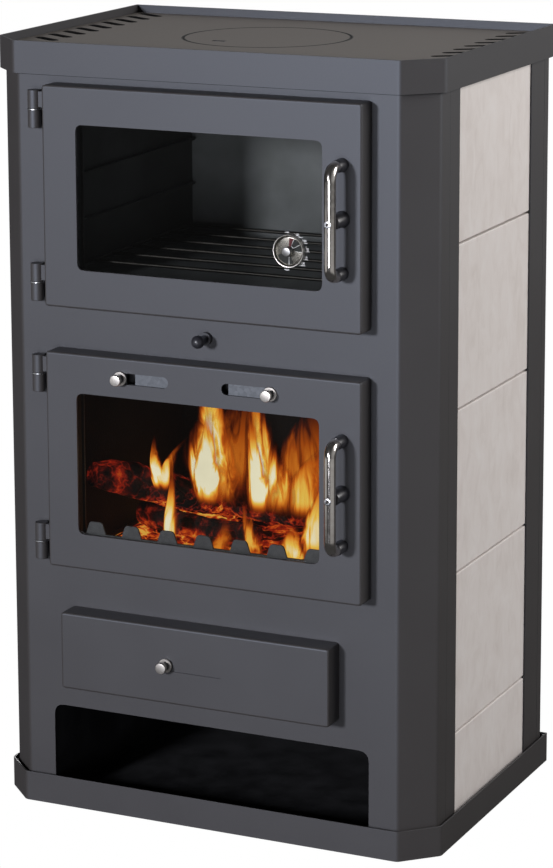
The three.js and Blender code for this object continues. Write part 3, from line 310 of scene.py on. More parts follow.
# Clouds of baked fat, about 50 mm wide
fat = add(tree, "TexNoise", {"Vector": place, "Scale": 1 / (50 * MM), "Detail": 4.0}).outputs["Fac"]
colour = add(tree, "ValToRGB", {"Fac": fat}, [(0.35, "#6c7073"), (0.75, "#7c8085")])
# Painted shade: faces that look towards +x are drawn nearly black
normal = add(tree, "NewGeometry").outputs["True Normal"]
facing = add(tree, "SeparateXYZ", {"Vector": normal}).outputs["X"]
baked = add(tree, "MapRange", {"Value": facing, "From Min": 0.3, "From Max": 0.8}).outputs[0]
colour_with_painted_shade = add(tree, "Mix", {
    "Factor": baked, 6: colour.outputs["Color"], 7: tone("#2c2b2b"),
}, data_type="RGBA")
tree.links.new(colour_with_painted_shade.outputs[2], shader.inputs["Base Color"])
surface(tree, shader, fat, rough=(0.35, 0.55), span=(0.3, 0.8), relief=(0.08, 0.3))
dress("oven_box", oven_enamel, 0.4)

# Hob plate, hot plate, hearth and grate: cast iron, ground flat and rubbed with stove polish, which leaves a
# warm grey skin with faint streaks along the rub. Faces that are not nearly level, the walls of the slots
# among them, are drawn nearly black, and so is a thin ring along the joint of the hot plate: painted shade
# in the slots and in the gap round the hot plate.
rubbed_iron, tree, shader, place = begin("polished cast iron")
# Streaks of the rub run from left to right, 5 mm wide and 80 mm long
streak_place = add(tree, "Mapping", {"Vector": place, "Scale": (0.06, 1, 1)}).outputs[0]
streak = add(tree, "TexNoise", {
    "Vector": streak_place, "Scale": 1 / (5 * MM), "Detail": 4.0,
}).outputs["Fac"]
# Sand-cast grain, about 0.8 mm, drawn at 1.6 mm so that it shows
grain = add(tree, "TexNoise", {"Vector": place, "Scale": 1 / (1.6 * MM), "Detail": 2.0}).outputs["Fac"]
blend = add(tree, "Math", {0: grain, 1: 0.3, 2: 0}, operation="MULTIPLY_ADD").outputs[0]
blend = add(tree, "Math", {0: streak, 1: 0.7, 2: blend}, operation="MULTIPLY_ADD").outputs[0]
colour = add(tree, "ValToRGB", {"Fac": blend}, [(0.3, "#736d68"), (0.7, "#88817b")])
# Painted shade: steep faces and a 4.4 mm ring at the joint of the hot plate are drawn nearly black
normal = add(tree, "NewGeometry").outputs["True Normal"]
facing = add(tree, "SeparateXYZ", {"Vector": normal}).outputs["Z"]
ground = add(tree, "MapRange", {"Value": facing, "From Min": 0.8, "From Max": 0.95}).outputs[0]
low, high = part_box("hot_plate")
hub = ((low.x + high.x) / 2, (low.y + high.y) / 2, 0)
level_place = add(tree, "VectorMath", {0: place, 1: (1, 1, 0)}, operation="MULTIPLY").outputs[0]
from_hub = add(tree, "VectorMath", {0: level_place, 1: hub}, operation="DISTANCE").outputs["Value"]
shade_ring_radius, shade_ring_width = (high.x - low.x) / 2 + 0.25 * MM, 2.2 * MM
painted_shade_line = add(tree, "Math", {0: from_hub, 1: shade_ring_radius, 2: shade_ring_width}, operation="COMPARE").outputs[0]
unshaded_top = add(tree, "Math", {0: ground, 1: painted_shade_line, 2: 0}, operation="SUBTRACT", use_clamp=True).outputs[0]
polished = add(tree, "Mix", {
    "Factor": unshaded_top, 6: tone("#0d0c0b"), 7: colour.outputs["Color"],
}, data_type="RGBA")
tree.links.new(polished.outputs[2], shader.inputs["Base Color"])
surface(tree, shader, streak, rough=(0.5, 0.62), span=(0.3, 0.7))
surface(tree, shader, grain, relief=(0.2, 0.2))
shader.inputs["Metallic"].default_value = 0.25
for node in ("hob_plate", "hot_plate", "hearth", "grate"):
    dress(node, rubbed_iron, 0.5)

# Firebricks: pressed vermiculite slabs on three sides of the fire, browned and sooted by it.
sooted_brick, tree, shader, place = begin("sooted vermiculite brick")
# Vermiculite flakes, 4 mm, and soot patches, 70 mm
flake = add(tree, "TexVoronoi", {"Vector": place, "Scale": 1 / (4 * MM)}).outputs["Distance"]
soot = add(tree, "TexNoise", {"Vector": place, "Scale": 1 / (70 * MM), "Detail": 5.0}).outputs["Fac"]
blend = add(tree, "Math", {0: flake, 1: 0.25, 2: soot}, operation="MULTIPLY_ADD").outputs[0]
surface(tree, shader, blend, [(0.4, "#050404"), (0.7, "#0c0a08"), (0.95, "#1c1713")])
surface(tree, shader, flake, relief=(0.5, 0.6))
shader.inputs["Roughness"].default_value = 0.95
for node in ("firebrick_left", "firebrick_right", "firebrick_back"):
    dress(node, sooted_brick, 1.0)


# Damper: a drawn steel rod with its plate, and a ball knob moulded in black heat-proof plastic
# on a tapered neck, screwed on the rod.
def skin(body, rows, wrap=True, closed=False, ends=False, slot=0):
    """Joins rows of points with faces: wrap joins a row's ends, closed the last row to the first."""
    for here, there in zip(rows, rows[1:] + rows[:1] if closed else rows[1:]):
        for k in range(len(here) if wrap else len(here) - 1):
            j = (k + 1) % len(here)
            body.faces.new((here[k], here[j], there[j], there[k])).material_index = slot
    if ends:
        body.faces.new(rows[0][::-1]).material_index = slot
        body.faces.new(rows[-1]).material_index = slot


def turned(name, profile, origin, axis, material, steps):
    """A turned piece: a profile of [radius, along] in mm, spun about an axis through a point."""
    body = bmesh.new()
    side = axis.orthogonal().normalized()
    spokes = [Matrix.Rotation(2 * math.pi * i / steps, 3, axis) @ side * MM for i in range(steps)]
    rings = []
    for radius, along in profile:
        rings.append([body.verts.new(origin + axis * along * MM + spoke * radius) for spoke in spokes])
    skin(body, rings)
    bmesh.ops.remove_doubles(body, verts=body.verts, dist=0.001 * MM)
    bmesh.ops.recalc_face_normals(body, faces=body.faces)
    return settle(name, body, [material])


def settle(name, body, materials, smooth=40):
    """Turns a bmesh into a linked object with smooth faces and edges sharp above an angle."""
    mesh = bpy.data.meshes.new(name)
    body.to_mesh(mesh)
    body.free()
    for material in materials:
        mesh.materials.append(material)
    for polygon in mesh.polygons:
        polygon.use_smooth = True
    mesh.set_sharp_from_angle(angle=math.radians(smooth))
    piece = bpy.data.objects.new(name, mesh)
    bpy.context.scene.collection.objects.link(piece)
    return piece


drawn_steel, tree, shader, place = begin("drawn steel")
# Drawing lines along the rod, 1 mm apart
line_place = add(tree, "Mapping", {"Vector": place, "Scale": (1, 0.05, 1)}).outputs[0]
line = add(tree, "TexNoise", {"Vector": line_place, "Scale": 1 / MM, "Detail": 2.0}).outputs["Fac"]
surface(tree, shader, line, [(0.3, "#7d7c7b"), (0.7, "#969594")], rough=(0.25, 0.45))
shader.inputs["Metallic"].default_value = 1.0
dress("damper_rod", drawn_steel, 0.3)

black_plastic, tree, shader, place = begin("moulded phenolic plastic")
# Faint marks of handling, 3 mm wide
smudge = add(tree, "TexNoise", {"Vector": place, "Scale": 1 / (3 * MM), "Detail": 3.0}).outputs["Fac"]
surface(tree, shader, smudge, [(0.3, "#232327"), (0.7, "#2c2c31")], rough=(0.28, 0.42))
low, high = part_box("damper_ball")
ball_radius, neck_radius, bore_radius = 8, 5.3, 4.4
ball_centre = Vector(((low.x + high.x) / 2, low.y + ball_radius * MM, (low.z + high.z) / 2))
end = (high.y - low.y) / MM - ball_radius
angles = [math.radians(a) for a in range(0, 133, 6)]
profile = [(ball_radius * math.sin(a), -ball_radius * math.cos(a)) for a in angles]
profile += [(neck_radius, 7), (neck_radius, end - 0.8), (4.9, end)]
profile += [(bore_radius, end), (bore_radius, 8.5), (0, 8.5)]
ball = turned("damper_ball_knob", profile, ball_centre, Vector((0, 1, 0)), black_plastic, 40)
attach(ball, "damper")
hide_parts("damper_ball")

# Oven rack: welded round steel wire, a loop with cross bars, on the lowest runners. Its nickel plating is
# dull and is drawn dark grey.
dull_nickel, tree, shader, place = begin("dull nickel plating")
# Heat stains, 15 mm long
stain = add(tree, "TexNoise", {"Vector": place, "Scale": 1 / (15 * MM), "Detail": 3.0}).outputs["Fac"]
surface(tree, shader, stain, [(0.3, "#3c3b3a"), (0.7, "#4c4a48")], rough=(0.4, 0.55))
shader.inputs["Metallic"].default_value = 1.0


def sweep(body, path, radius, sides=16, closed=False, ends=True):
    """Adds a round tube along a path of points to a bmesh."""
    count = len(path)
    rings = []
    tangent = None
    for i, point in enumerate(path):
        ahead_point = path[(i + 1) % count] if closed or i + 1 < count else point
        back_point = path[i - 1] if closed or i else point
        new = (ahead_point - back_point).normalized()
        if tangent is None:
            side = new.orthogonal().normalized()
        else:
            side = (tangent.rotation_difference(new) @ side).normalized()
        tangent = new
        size = radius(i / (count - 1)) if callable(radius) else radius
        rings.append([body.verts.new(
            point + Matrix.Rotation(2 * math.pi * k / sides, 3, tangent) @ side * size
        ) for k in range(sides)])
    skin(body, rings, closed=closed, ends=ends and not closed)


def rounded_path(corners, radius, steps=8):
    """The points of a path through corners, each corner turned on a radius."""
    path = [corners[0]]
    for before, corner, after in zip(corners, corners[1:], corners[2:]):
        start = corner + (before - corner).normalized() * radius
        end = corner + (after - corner).normalized() * radius
        for i in range(steps + 1):
            t = i / steps
            path.append(start * (1 - t) ** 2 + corner * 2 * t * (1 - t) + end * t ** 2)
    return path + [corners[-1]]


low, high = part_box("oven_rack")
wire = 2.2 * MM
z = (low.z + high.z) / 2
body = bmesh.new()
x0, x1, y0, y1 = low.x + wire, high.x - wire, low.y + wire, high.y - wire
middle = (x0 + x1) / 2
loop = rounded_path([Vector(p) for p in (
    (middle, y0, z), (x1, y0, z), (x1, y1, z), (x0, y1, z), (x0, y0, z), (middle, y0, z),
)], 10 * MM)
sweep(body, loop[:-1], wire, closed=True)
bars = 6
for i in range(1, bars - 1):
    y = y0 + (y1 - y0) * i / (bars - 1)
    sweep(body, [Vector((x0, y, z)), Vector((middle, y, z)), Vector((x1, y, z))], wire, ends=False)
rack = settle("wire_rack", body, [dull_nickel])
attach(rack, "stove")
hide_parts("oven_rack")

# Hinges: turned weld-on barrels. The lower one is welded to the panel and carries a pin and a bright
# zinc-plated washer. The upper one is part of the door. Barrels in stove paint. Here all four barrels are
# drawn alike, with a pin, a washer and a weld bead, and all ride with the stove.
zinc, tree, shader, place = begin("bright zinc plating")
# Spangle of the plating, 2 mm
spangle = add(tree, "TexVoronoi", {"Vector": place, "Scale": 1 / (2 * MM)}).outputs["Distance"]
surface(tree, shader, spangle, [(0.1, "#c9cbce"), (0.8, "#e4e5e7")], rough=(0.22, 0.38))
shader.inputs["Metallic"].default_value = 1.0
hinge_axis = (-222 * MM, -212 * MM)
up = Vector((0, 0, 1))
for node in ("oven_hinge_lower", "oven_hinge_upper", "fire_hinge_lower", "fire_hinge_upper"):
    low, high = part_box(node)
    foot = Vector((*hinge_axis, low.z))
    barrel = turned(node + "_barrel", [
        (0, 0), (7.3, 0), (8, 0.7), (8, 21.5), (7.4, 22.1), (4.2, 22.1), (4.2, 22), (0, 22),
    ], foot, up, stove_paint, 40)
    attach(barrel, "stove")
    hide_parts(node)
    washer = turned(node + "_washer", [
        (4.1, 22.25), (8.5, 22.25), (8.8, 22.5), (8.8, 23.5), (8.5, 23.75), (4.1, 23.75), (4.1, 22.25),
    ], foot, up, zinc, 40)
    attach(washer, "stove")
    pin = turned(node + "_pin", [
        (0, 22.1), (4, 22.1), (4, 42), (3.2, 42.8), (0, 42.8),
    ], foot, up, drawn_steel, 24)
    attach(pin, "stove")
    # The weld runs up the gap between barrel and panel, in overlapping beads
    body = bmesh.new()
    beads = [foot + Vector((0, 9.8, 1.5 + i * 0.9)) * MM for i in range(20)]
    sweep(body, beads, lambda t: (2.75 + 0.2 * math.sin(t * 60)) * MM, 12)
    weld = settle(node + "_weld", body, [stove_paint])
    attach(weld, "stove")

# Latch keepers: bent steel brackets on the panel, hidden behind the doors.
for node in ("oven_latch_keeper", "fire_latch_keeper"):
    dress(node, drawn_steel, 0.3)

# Door shells: pans pressed from sheet with 3 mm rounded edges, with the upper hinge barrels
# welded on, in stove paint. Their liners are black sheet.
for door in ("oven", "fire"):
    dress(f"{door}_door_shell", stove_paint, 0.3)
    dress(f"{door}_door_liner", black_sheet, 0.3)

# Rope seals: woven glass-fibre rope, grey with graphite, pressed into a channel of the liner.
# It has coarse strands that wind round it and it is squashed a little against the panel.
glass_rope, tree, shader, place = begin("woven glass-fibre rope")
# Yarns are 1.2 mm thick
yarn = add(tree, "TexVoronoi", {"Vector": place, "Scale": 1 / (1.2 * MM)}).outputs["Distance"]
surface(tree, shader, yarn, [(0.1, "#3b3b39"), (0.7, "#5c5b57")], relief=(0.6, 0.5))
shader.inputs["Roughness"].default_value = 0.95
for door in ("oven", "fire"):
    low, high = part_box(f"{door}_door_seal")
    inset, turn, sides, strands = 5 * MM, 10 * MM, 20, 5
    half_width, squash, wind = 4.9 * MM, 0.2 * MM, 0.55
    y = (low.y + high.y) / 2
    depth = (high.y - low.y) / 2 - squash
    x0, x1, z0, z1 = low.x + inset, high.x - inset, low.z + inset, high.z - inset
    middle = (x0 + x1) / 2
    corners = [(middle, z0), (x1, z0), (x1, z1), (x0, z1), (x0, z0), (middle, z0)]
    coarse = rounded_path([Vector((x, y, z)) for x, z in corners], turn)
    path = []
    for here, there in zip(coarse, coarse[1:]):
        pieces = max(1, round((there - here).length / (3 * MM)))
        path += [here.lerp(there, i / pieces) for i in range(pieces)]
    body = bmesh.new()
    rings = []
    for i, point in enumerate(path):
        along = (path[(i + 1) % len(path)] - path[i - 1]).normalized()
        out = along.cross(Vector((0, 1, 0)))
        ring = []
        for k in range(sides):
            angle = 2 * math.pi * k / sides
            swell = 0.94 + 0.06 * math.cos(strands * angle - i * wind)
            sideways = out * math.cos(angle) * half_width
            ring.append(body.verts.new(
                point + (sideways + Vector((0, math.sin(angle) * depth, 0))) * swell
            ))
        rings.append(ring)
    skin(body, rings, closed=True)
    bmesh.ops.recalc_face_normals(body, faces=body.faces)
    rope = settle(f"{door}_door_rope", body, [glass_rope], 80)
    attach(rope, f"{door}_door")
    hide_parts(f"{door}_door_seal")

# Window glass: clear ceramic glass, 4 mm, polished, with a faint smoky film. It lets lamps
# through, so what lies behind it is lit. Light passes it unbent, so the outer face mirrors for
# both faces and the inner one only lets light through.
clear_glass, tree, shader, place = begin("clear ceramic glass")
film = add(tree, "TexNoise", {"Vector": place, "Scale": 1 / (50 * MM), "Detail": 3.0}).outputs["Fac"]
colour = add(tree, "ValToRGB", {"Fac": film}, [(0.3, "#e3e3e1"), (0.8, "#ebebe9")])
through = add(tree, "BsdfTransparent", {"Color": colour.outputs["Color"]})
rough = add(tree, "MapRange", {"Value": film, "To Min": 0.01, "To Max": 0.05})
gloss = add(tree, "BsdfGlossy", {"Color": tone("#ffffff"), "Roughness": rough.outputs[0]})
edge = add(tree, "Fresnel", {"IOR": 1.6})
outer = add(tree, "MixShader", {"Fac": edge.outputs[0], 1: through.outputs[0], 2: gloss.outputs[0]})
back = add(tree, "NewGeometry").outputs["Backfacing"]
pane = add(tree, "MixShader", {"Fac": back, 1: outer.outputs[0], 2: through.outputs[0]})
tree.links.new(pane.outputs[0], tree.nodes["Material Output"].inputs["Surface"])
for door in ("oven", "fire"):
    dress(f"{door}_door_glass", clear_glass, 0.3)

# Log guard: a toothed strip of painted sheet inside the fire door, behind the glass. Its paint is drawn much
# lighter than the stove paint: painted light, as little light reaches it behind the glass.
lightened_guard_paint, tree, shader, place = begin("guard paint lightened as painted light")
# Lighter and darker patches of the painted light, 8 mm
ash = add(tree, "TexNoise", {"Vector": place, "Scale": 1 / (8 * MM), "Detail": 5.0}).outputs["Fac"]
surface(tree, shader, ash, [(0.3, "#55565a"), (0.7, "#66676b")], rough=(0.6, 0.8), relief=(0.3, 0.2))
dress("log_guard", lightened_guard_paint, 0.3)

# Thermometer: a spun dish with a satin nickel bezel on the oven's glass, clamped by a cap in the
# middle and a nut behind. Its face is brushed metal with sectors and lines printed on it, the
# needle is a dark red wedge, and a plain scale is printed in white on the glass.
satin_nickel, tree, shader, place = begin("satin nickel plating")
# Fine turning marks, drawn at 1 mm so that they show
mark = add(tree, "TexNoise", {"Vector": place, "Scale": 1 / MM, "Detail": 2.0}).outputs["Fac"]
surface(tree, shader, mark, [(0.3, "#c9c3bc"), (0.7, "#dcd7d1")], rough=(0.32, 0.42))
shader.inputs["Metallic"].default_value = 1.0
low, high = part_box("thermometer")
glass_face = -225.7 * MM
dial = Vector(((low.x + high.x) / 2, glass_face, (low.z + high.z) / 2))
front = Vector((0, -1, 0))
bezel = turned("dial_bezel", [
    (18.1, 5.9), (18.3, 6.8), (18.7, 7.1), (19.1, 7.1), (19.4, 6.8), (19.5, 6.3),
    (19.5, 0.3), (18.1, 0.3), (18.1, 5.9),
], dial, front, satin_nickel, 72)
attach(bezel, "oven_door")
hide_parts("thermometer")
nut = turned("dial_nut", [
    (4, -4.3), (9, -4.3), (9, -6.8), (8.4, -7.3), (4, -7.3), (4, -4.3),
], dial, front, zinc, 6)
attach(nut, "oven_door")

brushed_metal, tree, shader, place = begin("brushed aluminium")
# Brush marks, 0.4 mm on the real face, drawn at 1 mm so that they show
mark = add(tree, "TexNoise", {"Vector": place, "Scale": 1 / MM, "Detail": 2.0}).outputs["Fac"]
surface(tree, shader, mark, [(0.3, "#7d7a72"), (0.7, "#99958c")], rough=(0.2, 0.34))
shader.inputs["Metallic"].default_value = 1.0
dish = turned("dial_dish", [
    (0, 3.2), (8, 3.2), (14, 2.9), (16, 2.6), (16.2, 3.4), (16.7, 3.6),
    (17, 3.3), (18, 5.6), (18, 0.6), (0, 0.6), (0, 3.2),
], dial, front, brushed_metal, 72)
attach(dish, "oven_door")
cap = turned("dial_cap", [
    (0, 13), (4.9, 13), (5.5, 12.8), (5.9, 12.2), (5.9, 4.8), (0, 4.8),
], dial, front, drawn_steel, 48)
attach(cap, "oven_door")


def sector(body, start, end, inner, outer, y, slot=0):
    """Adds a thin sector of the dial to a bmesh, in degrees clockwise from the top, and in mm."""
    steps = max(2, round((end - start) / 3))
    back = y + 0.15
    rows = []
    for i in range(steps + 1):
        angle = math.radians(start + (end - start) * i / steps)
        aim = Vector((math.sin(angle), 0, math.cos(angle)))
        corners = ((inner, y), (outer, y), (outer, back), (inner, back))
        rows.append([
            body.verts.new(dial + (aim * radius + Vector((0, depth, 0))) * MM)
            for radius, depth in corners
        ])
    skin(body, rows, ends=True, slot=slot)


prints = []
for name, inks, shine in (
    ("white screen print", [(0.3, "#dededc"), (0.7, "#f2f2f0")], 0.5),
    ("dark screen print", [(0.3, "#191a18"), (0.7, "#262724")], 0.2),
):
    ink, tree, shader, place = begin(name)
    # Specks of the ink, 0.8 mm
    speck = add(tree, "TexNoise", {"Vector": place, "Scale": 1 / (0.8 * MM)}).outputs["Fac"]
    surface(tree, shader, speck, inks)
    shader.inputs["Roughness"].default_value = 0.6
    shader.inputs["Specular IOR Level"].default_value = shine
    prints.append(ink)
body = bmesh.new()
dark_front, white_front = -3.5, -3.7
for start, end in ((24, 60), (60, 92), (160, 250)):
    sector(body, start + 1.5, end - 1.5, 6.6, 15.8, dark_front, 1)
for degrees in (24, 60, 92, 180):
    sector(body, degrees - 0.9, degrees + 0.9, 6.4, 16.2, white_front)
sector(body, 24, 60, 6, 6.5, white_front)
bmesh.ops.recalc_face_normals(body, faces=body.faces)
print_work = settle("dial_print", body, prints)
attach(print_work, "oven_door")

# The figures stand on the glass beside the dial, each number over a short line
body = bmesh.new()
upright = Matrix.Rotation(math.pi / 2, 4, "X")
for words, x, z, line_start, line_end in (
    ("min", -4.2, 21.4, 0, 0),
    ("50", 9.6, 19.2, 8.6, 16.2),
    ("100", 18, 12.6, 13.3, 22.4),
    ("150", 21, 2.7, 17.6, 25.2),
    ("200", 19.4, -7, 15.6, 23),
    ("250", 15.9, -14.3, 11, 19.6),
    ("max", -4.4, -23.2, 0, 0),
):
    letters = bpy.data.curves.new(words, "FONT")
    letters.body = words
    letters.size = 3.6 * MM
    letters.align_x = "CENTER"
    letters.align_y = "CENTER"
    letters.extrude = 0.05 * MM
    stand_in = bpy.data.objects.new(words, letters)
    stand_in.matrix_world = Matrix.Translation(dial + Vector((x, -0.15, z)) * MM) @ upright
    bpy.context.scene.collection.objects.link(stand_in)
    bpy.context.view_layer.update()
    shaped = stand_in.evaluated_get(bpy.context.evaluated_depsgraph_get())
    printed = bpy.data.meshes.new_from_object(shaped)
    printed.transform(stand_in.matrix_world)
    body.from_mesh(printed)
    bpy.data.objects.remove(stand_in)
    if line_end:
        y, bottom = -0.2, z - 2.9
        top = bottom + 0.45
        outline = ((line_start, bottom), (line_end, bottom), (line_end, top), (line_start, top))
        near = [body.verts.new(dial + Vector((a, y, b)) * MM) for a, b in outline]
        far = [body.verts.new(dial + Vector((a, y + 0.12, b)) * MM) for a, b in outline]
        skin(body, [far, near], ends=True)
scale = settle("dial_scale", body, prints[:1])
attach(scale, "oven_door")

red_lacquer, tree, shader, place = begin("red lacquered sheet")
speck = add(tree, "TexNoise", {"Vector": place, "Scale": 1 / MM}).outputs["Fac"]
surface(tree, shader, speck, [(0.3, "#431b1d"), (0.7, "#542325")])
shader.inputs["Roughness"].default_value = 0.6
shader.inputs["Specular IOR Level"].default_value = 0.2
body = bmesh.new()
needle_front = -4.3
sector(body, 2, 23, 5, 15.6, needle_front)
sector(body, -20, 45, 0.6, 5.2, needle_front)
bmesh.ops.recalc_face_normals(body, faces=body.faces)
needle = settle("dial_needle_wedge", body, [red_lacquer])
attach(needle, "dial_needle")
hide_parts("thermometer_needle")

# Handles: bent steel tube with bright chrome plating in two tapered black ferrules, on a black
# moulded spindle. A socket-head screw through the tube holds it, and a steel latch arm is inside.
bright_chrome, tree, shader, place = begin("bright chrome plating")
# Wiping marks, 6 mm wide
wipe = add(tree, "TexNoise", {"Vector": place, "Scale": 1 / (6 * MM), "Detail": 4.0}).outputs["Fac"]
surface(tree, shader, wipe, [(0.3, "#d6cfc9"), (0.7, "#e8e3de")], rough=(0.12, 0.2), span=(0.3, 0.8))
shader.inputs["Metallic"].default_value = 1.0
half, root, reach, bend, tube_radius = 64 * MM, 6 * MM, 36 * MM, 15 * MM, 7 * MM
for door, body_name in (("oven", "oven_handle"), ("fire", "fire_handle")):
    low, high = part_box(f"{door}_handle_bow")
    hub = Vector((193 * MM, -229 * MM, (low.z + high.z) / 2))
    body = bmesh.new()
    path = rounded_path([hub + Vector(p) for p in (
        (0, -root, half), (0, -reach, half), (0, -reach, -half), (0, -root, -half),
    )], bend, 14)
    sweep(body, path, tube_radius, 32, ends=False)
    tube = settle(f"{door}_handle_tube", body, [bright_chrome])
    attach(tube, body_name)
    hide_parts(f"{door}_handle_bow")
    for place_name, z in (("high", half), ("low", -half)):
        ferrule = turned(f"{door}_handle_ferrule_{place_name}", [
            (0, 1.2), (8, 1.2), (8, 2), (7.8, 8), (7.5, 20.5), (7.3, 20.9), (6.9, 20.9),
        ], hub + Vector((0, 0, z)), front, black_plastic, 32)
        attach(ferrule, body_name)
    spindle = turned(f"{door}_handle_post", [
        (0, 0.4), (9.9, 0.4), (10, 0.8), (9.8, 1.3), (9.1, 1.7), (8.6, 6), (8.4, 28.2), (8, 28.8), (0, 28.8),
    ], hub, front, black_plastic, 40)
    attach(spindle, body_name)
    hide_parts(f"{door}_handle_spindle")
    # The shaft runs through the door to the latch arm
    shaft = turned(f"{door}_handle_shaft", [
        (0, 0.2), (5, 0.2), (5, -26.2), (4.6, -26.5), (0, -26.5),
    ], hub, front, drawn_steel, 24)
    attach(shaft, body_name)
    body = bmesh.new()
    outline = [(0, 5), (19, 5), (20, 4), (20, -4), (19, -5), (0, -5), (-3.5, -3.5), (-5, 0), (-3.5, 3.5)]
    skin(body, [
        [body.verts.new(hub + Vector((x, y, z)) * MM) for x, z in outline] for y in (22.5, 26.5)
    ], ends=True)
    bmesh.ops.recalc_face_normals(body, faces=body.faces)
    latch = settle(f"{door}_latch_arm", body, [drawn_steel])
    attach(latch, body_name)
    screw = turned(f"{door}_handle_screw", [
        (0, 42.6), (2.1, 42.6), (2.2, 44.1), (3.6, 44.2), (4.1, 43.9), (4.2, 43.4), (4.2, 42.2), (0, 42.2),
    ], hub, front, zinc, 32)
    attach(screw, body_name)
    socket = turned(f"{door}_screw_socket", [
        (0.9, 42.7), (2.1, 42.7), (2.1, 44.05), (1.9, 44.05), (1.8, 42.8), (0.9, 42.8), (0.9, 42.7),
    ], hub, front, black_plastic, 6)
    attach(socket, body_name)

# Air sliders: strips of sheet behind the slots, pale grey galvanised steel in the fire door and
# painted in the drawer. Each has a turned knob in satin nickel with a dark neck, standing on a
# washer of the same that slides on the door.
galvanised, tree, shader, place = begin("galvanised sheet")
# Spangle, 4 mm
spangle = add(tree, "TexVoronoi", {"Vector": place, "Scale": 1 / (4 * MM)}).outputs["Color"]
surface(tree, shader, spangle, [(0.2, "#515459"), (0.8, "#5f6267")], rough=(0.5, 0.6))
shader.inputs["Metallic"].default_value = 0.4
for node, material in (
    ("left_air_slider", galvanised), ("right_air_slider", galvanised), ("ash_air_slider", stove_paint),
):
    dress(node, material, 0.2)
for node, body_name, wall in (
    ("left_air_knob", "left_air_control", 3), ("right_air_knob", "right_air_control", 3),
    ("ash_air_knob", "ash_air_control", 1.5),
):
    low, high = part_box(node)
    tail = wall + 2.6
    root = Vector(((low.x + high.x) / 2, high.y - tail * MM, (low.z + high.z) / 2))
    washer = turned(node + "_washer", [
        (0, 0.35), (8.3, 0.35), (8.95, 0.8), (8.95, 1.5), (8.4, 2.2), (5.2, 2.3), (0, 2.3),
    ], root, front, satin_nickel, 48)
    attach(washer, body_name)
    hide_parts(node)
    neck = turned(node + "_neck", [
        (0, 2.3), (5.6, 2.3), (5.2, 3.2), (5.0, 9.2), (5.4, 10.3), (0, 10.3),
    ], root, front, black_plastic, 32)
    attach(neck, body_name)
    stem = turned(node + "_stem", [
        (0, 0.3), (4, 0.3), (4, -tail + 0.4), (3.6, -tail), (0, -tail),
    ], root, front, drawn_steel, 24)
    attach(stem, body_name)
    head = turned(node + "_head", [
        (0, 10.3), (6.6, 10.3), (7.3, 10.9), (7.3, 14.2), (6.6, 15.1), (5.8, 15.25), (0, 15.25),
    ], root, front, satin_nickel, 12)
    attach(head, body_name)

# Ash drawer: a pressed front in stove paint, and a black folded pan that slides on the floor
# of the ash space.
dress("ash_drawer_front", stove_paint, 0.3)
dress("ash_pan", black_sheet, 0.4)

# The fire: charred split logs over a bed of coals, and flames. It shows what the door is for.
# Charcoal is dull black, checked in blocks, and glows from dark red to orange in patches.
charcoal, tree, shader, place = begin("glowing charcoal")
# Checks part the char into uneven blocks of about 20 mm
bent = add(tree, "TexNoise", {"Vector": place, "Scale": 1 / (18 * MM), "Detail": 3.0}).outputs["Color"]
bend = (30 * MM, 30 * MM, 30 * MM)
bent_place = add(tree, "VectorMath", {0: bent, 1: bend, 2: place}, operation="MULTIPLY_ADD").outputs[0]
cracks = add(tree, "TexVoronoi", {"Vector": bent_place, "Scale": 1 / (20 * MM)}, feature="DISTANCE_TO_EDGE")
near = add(tree, "MapRange", {
    "Value": cracks.outputs["Distance"], "From Max": 0.13, "To Min": 1.0, "To Max": 0.0,
}).outputs[0]
# Hot patches, 40 mm
heat = add(tree, "TexNoise", {
    "Vector": place, "Scale": 1 / (40 * MM), "Detail": 6.0, "Roughness": 0.65, "Distortion": 0.4,
}).outputs["Fac"]
hot = add(tree, "MapRange", {"Value": heat, "From Min": 0.4, "From Max": 0.68}).outputs[0]
level = add(tree, "Attribute", attribute_name="glow").outputs["Fac"]
glow = add(tree, "Math", {0: near, 1: 0.3, 2: hot}, operation="MULTIPLY_ADD").outputs[0]
glow = add(tree, "Math", {0: glow, 1: level}, operation="MULTIPLY").outputs[0]
shine = add(tree, "ValToRGB", {"Fac": glow}, [
    (0.1, "#000000"), (0.25, "#300604"), (0.48, "#a3240f"), (0.7, "#ee661c"), (0.95, "#ffc04e"),
])
tree.links.new(shine.outputs["Color"], shader.inputs["Emission Color"])
shader.inputs["Emission Strength"].default_value = 1.0
shader.inputs["Base Color"].default_value = tone("#0c0a09")
shader.inputs["Roughness"].default_value = 0.9
bump = add(tree, "Bump", {"Height": near, "Strength": 0.8, "Distance": 1.5 * MM}, invert=True)
tree.links.new(bump.outputs[0], shader.inputs["Normal"])


def glowing(piece, level_at):
    """Stores on each point how strongly the charcoal glows there."""
    levels = piece.data.attributes.new("glow", "FLOAT", "POINT")
    for vertex in piece.data.vertices:
        levels.data[vertex.index].value = level_at(vertex.co)


body = bmesh.new()
wide, deep = 76, 46
x0, x1, y0, y1, bed = -188 * MM, 188 * MM, -176 * MM, 126 * MM, 322.4 * MM
rows = []
for j in range(deep + 1):
    row = []
    for i in range(wide + 1):
        x, y = x0 + (x1 - x0) * i / wide, y0 + (y1 - y0) * j / deep
        rim = min(i, wide - i, j, deep - j) / 6
        lump = noise.noise(Vector((x, y, 0)) / (22 * MM)) * 6
        lump += noise.noise(Vector((x, y, 3)) / (9 * MM)) * 3
        row.append(body.verts.new((x, y, bed + min(1, rim) * max(0.5, 12 + lump) * MM)))
    rows.append(row)
skin(body, rows, wrap=False)
coals = settle("coal_bed", body, [charcoal], 180)


def ember_level(p):
    """Embers glow in patches, and most at the left, where the bed lies open."""
    open_bed = min(1, max(0, -p.x - 50 * MM) / (80 * MM))
    return 0.85 + 0.5 * noise.noise(p / (60 * MM)) + 0.3 * open_bed


glowing(coals, ember_level)
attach(coals, "stove")

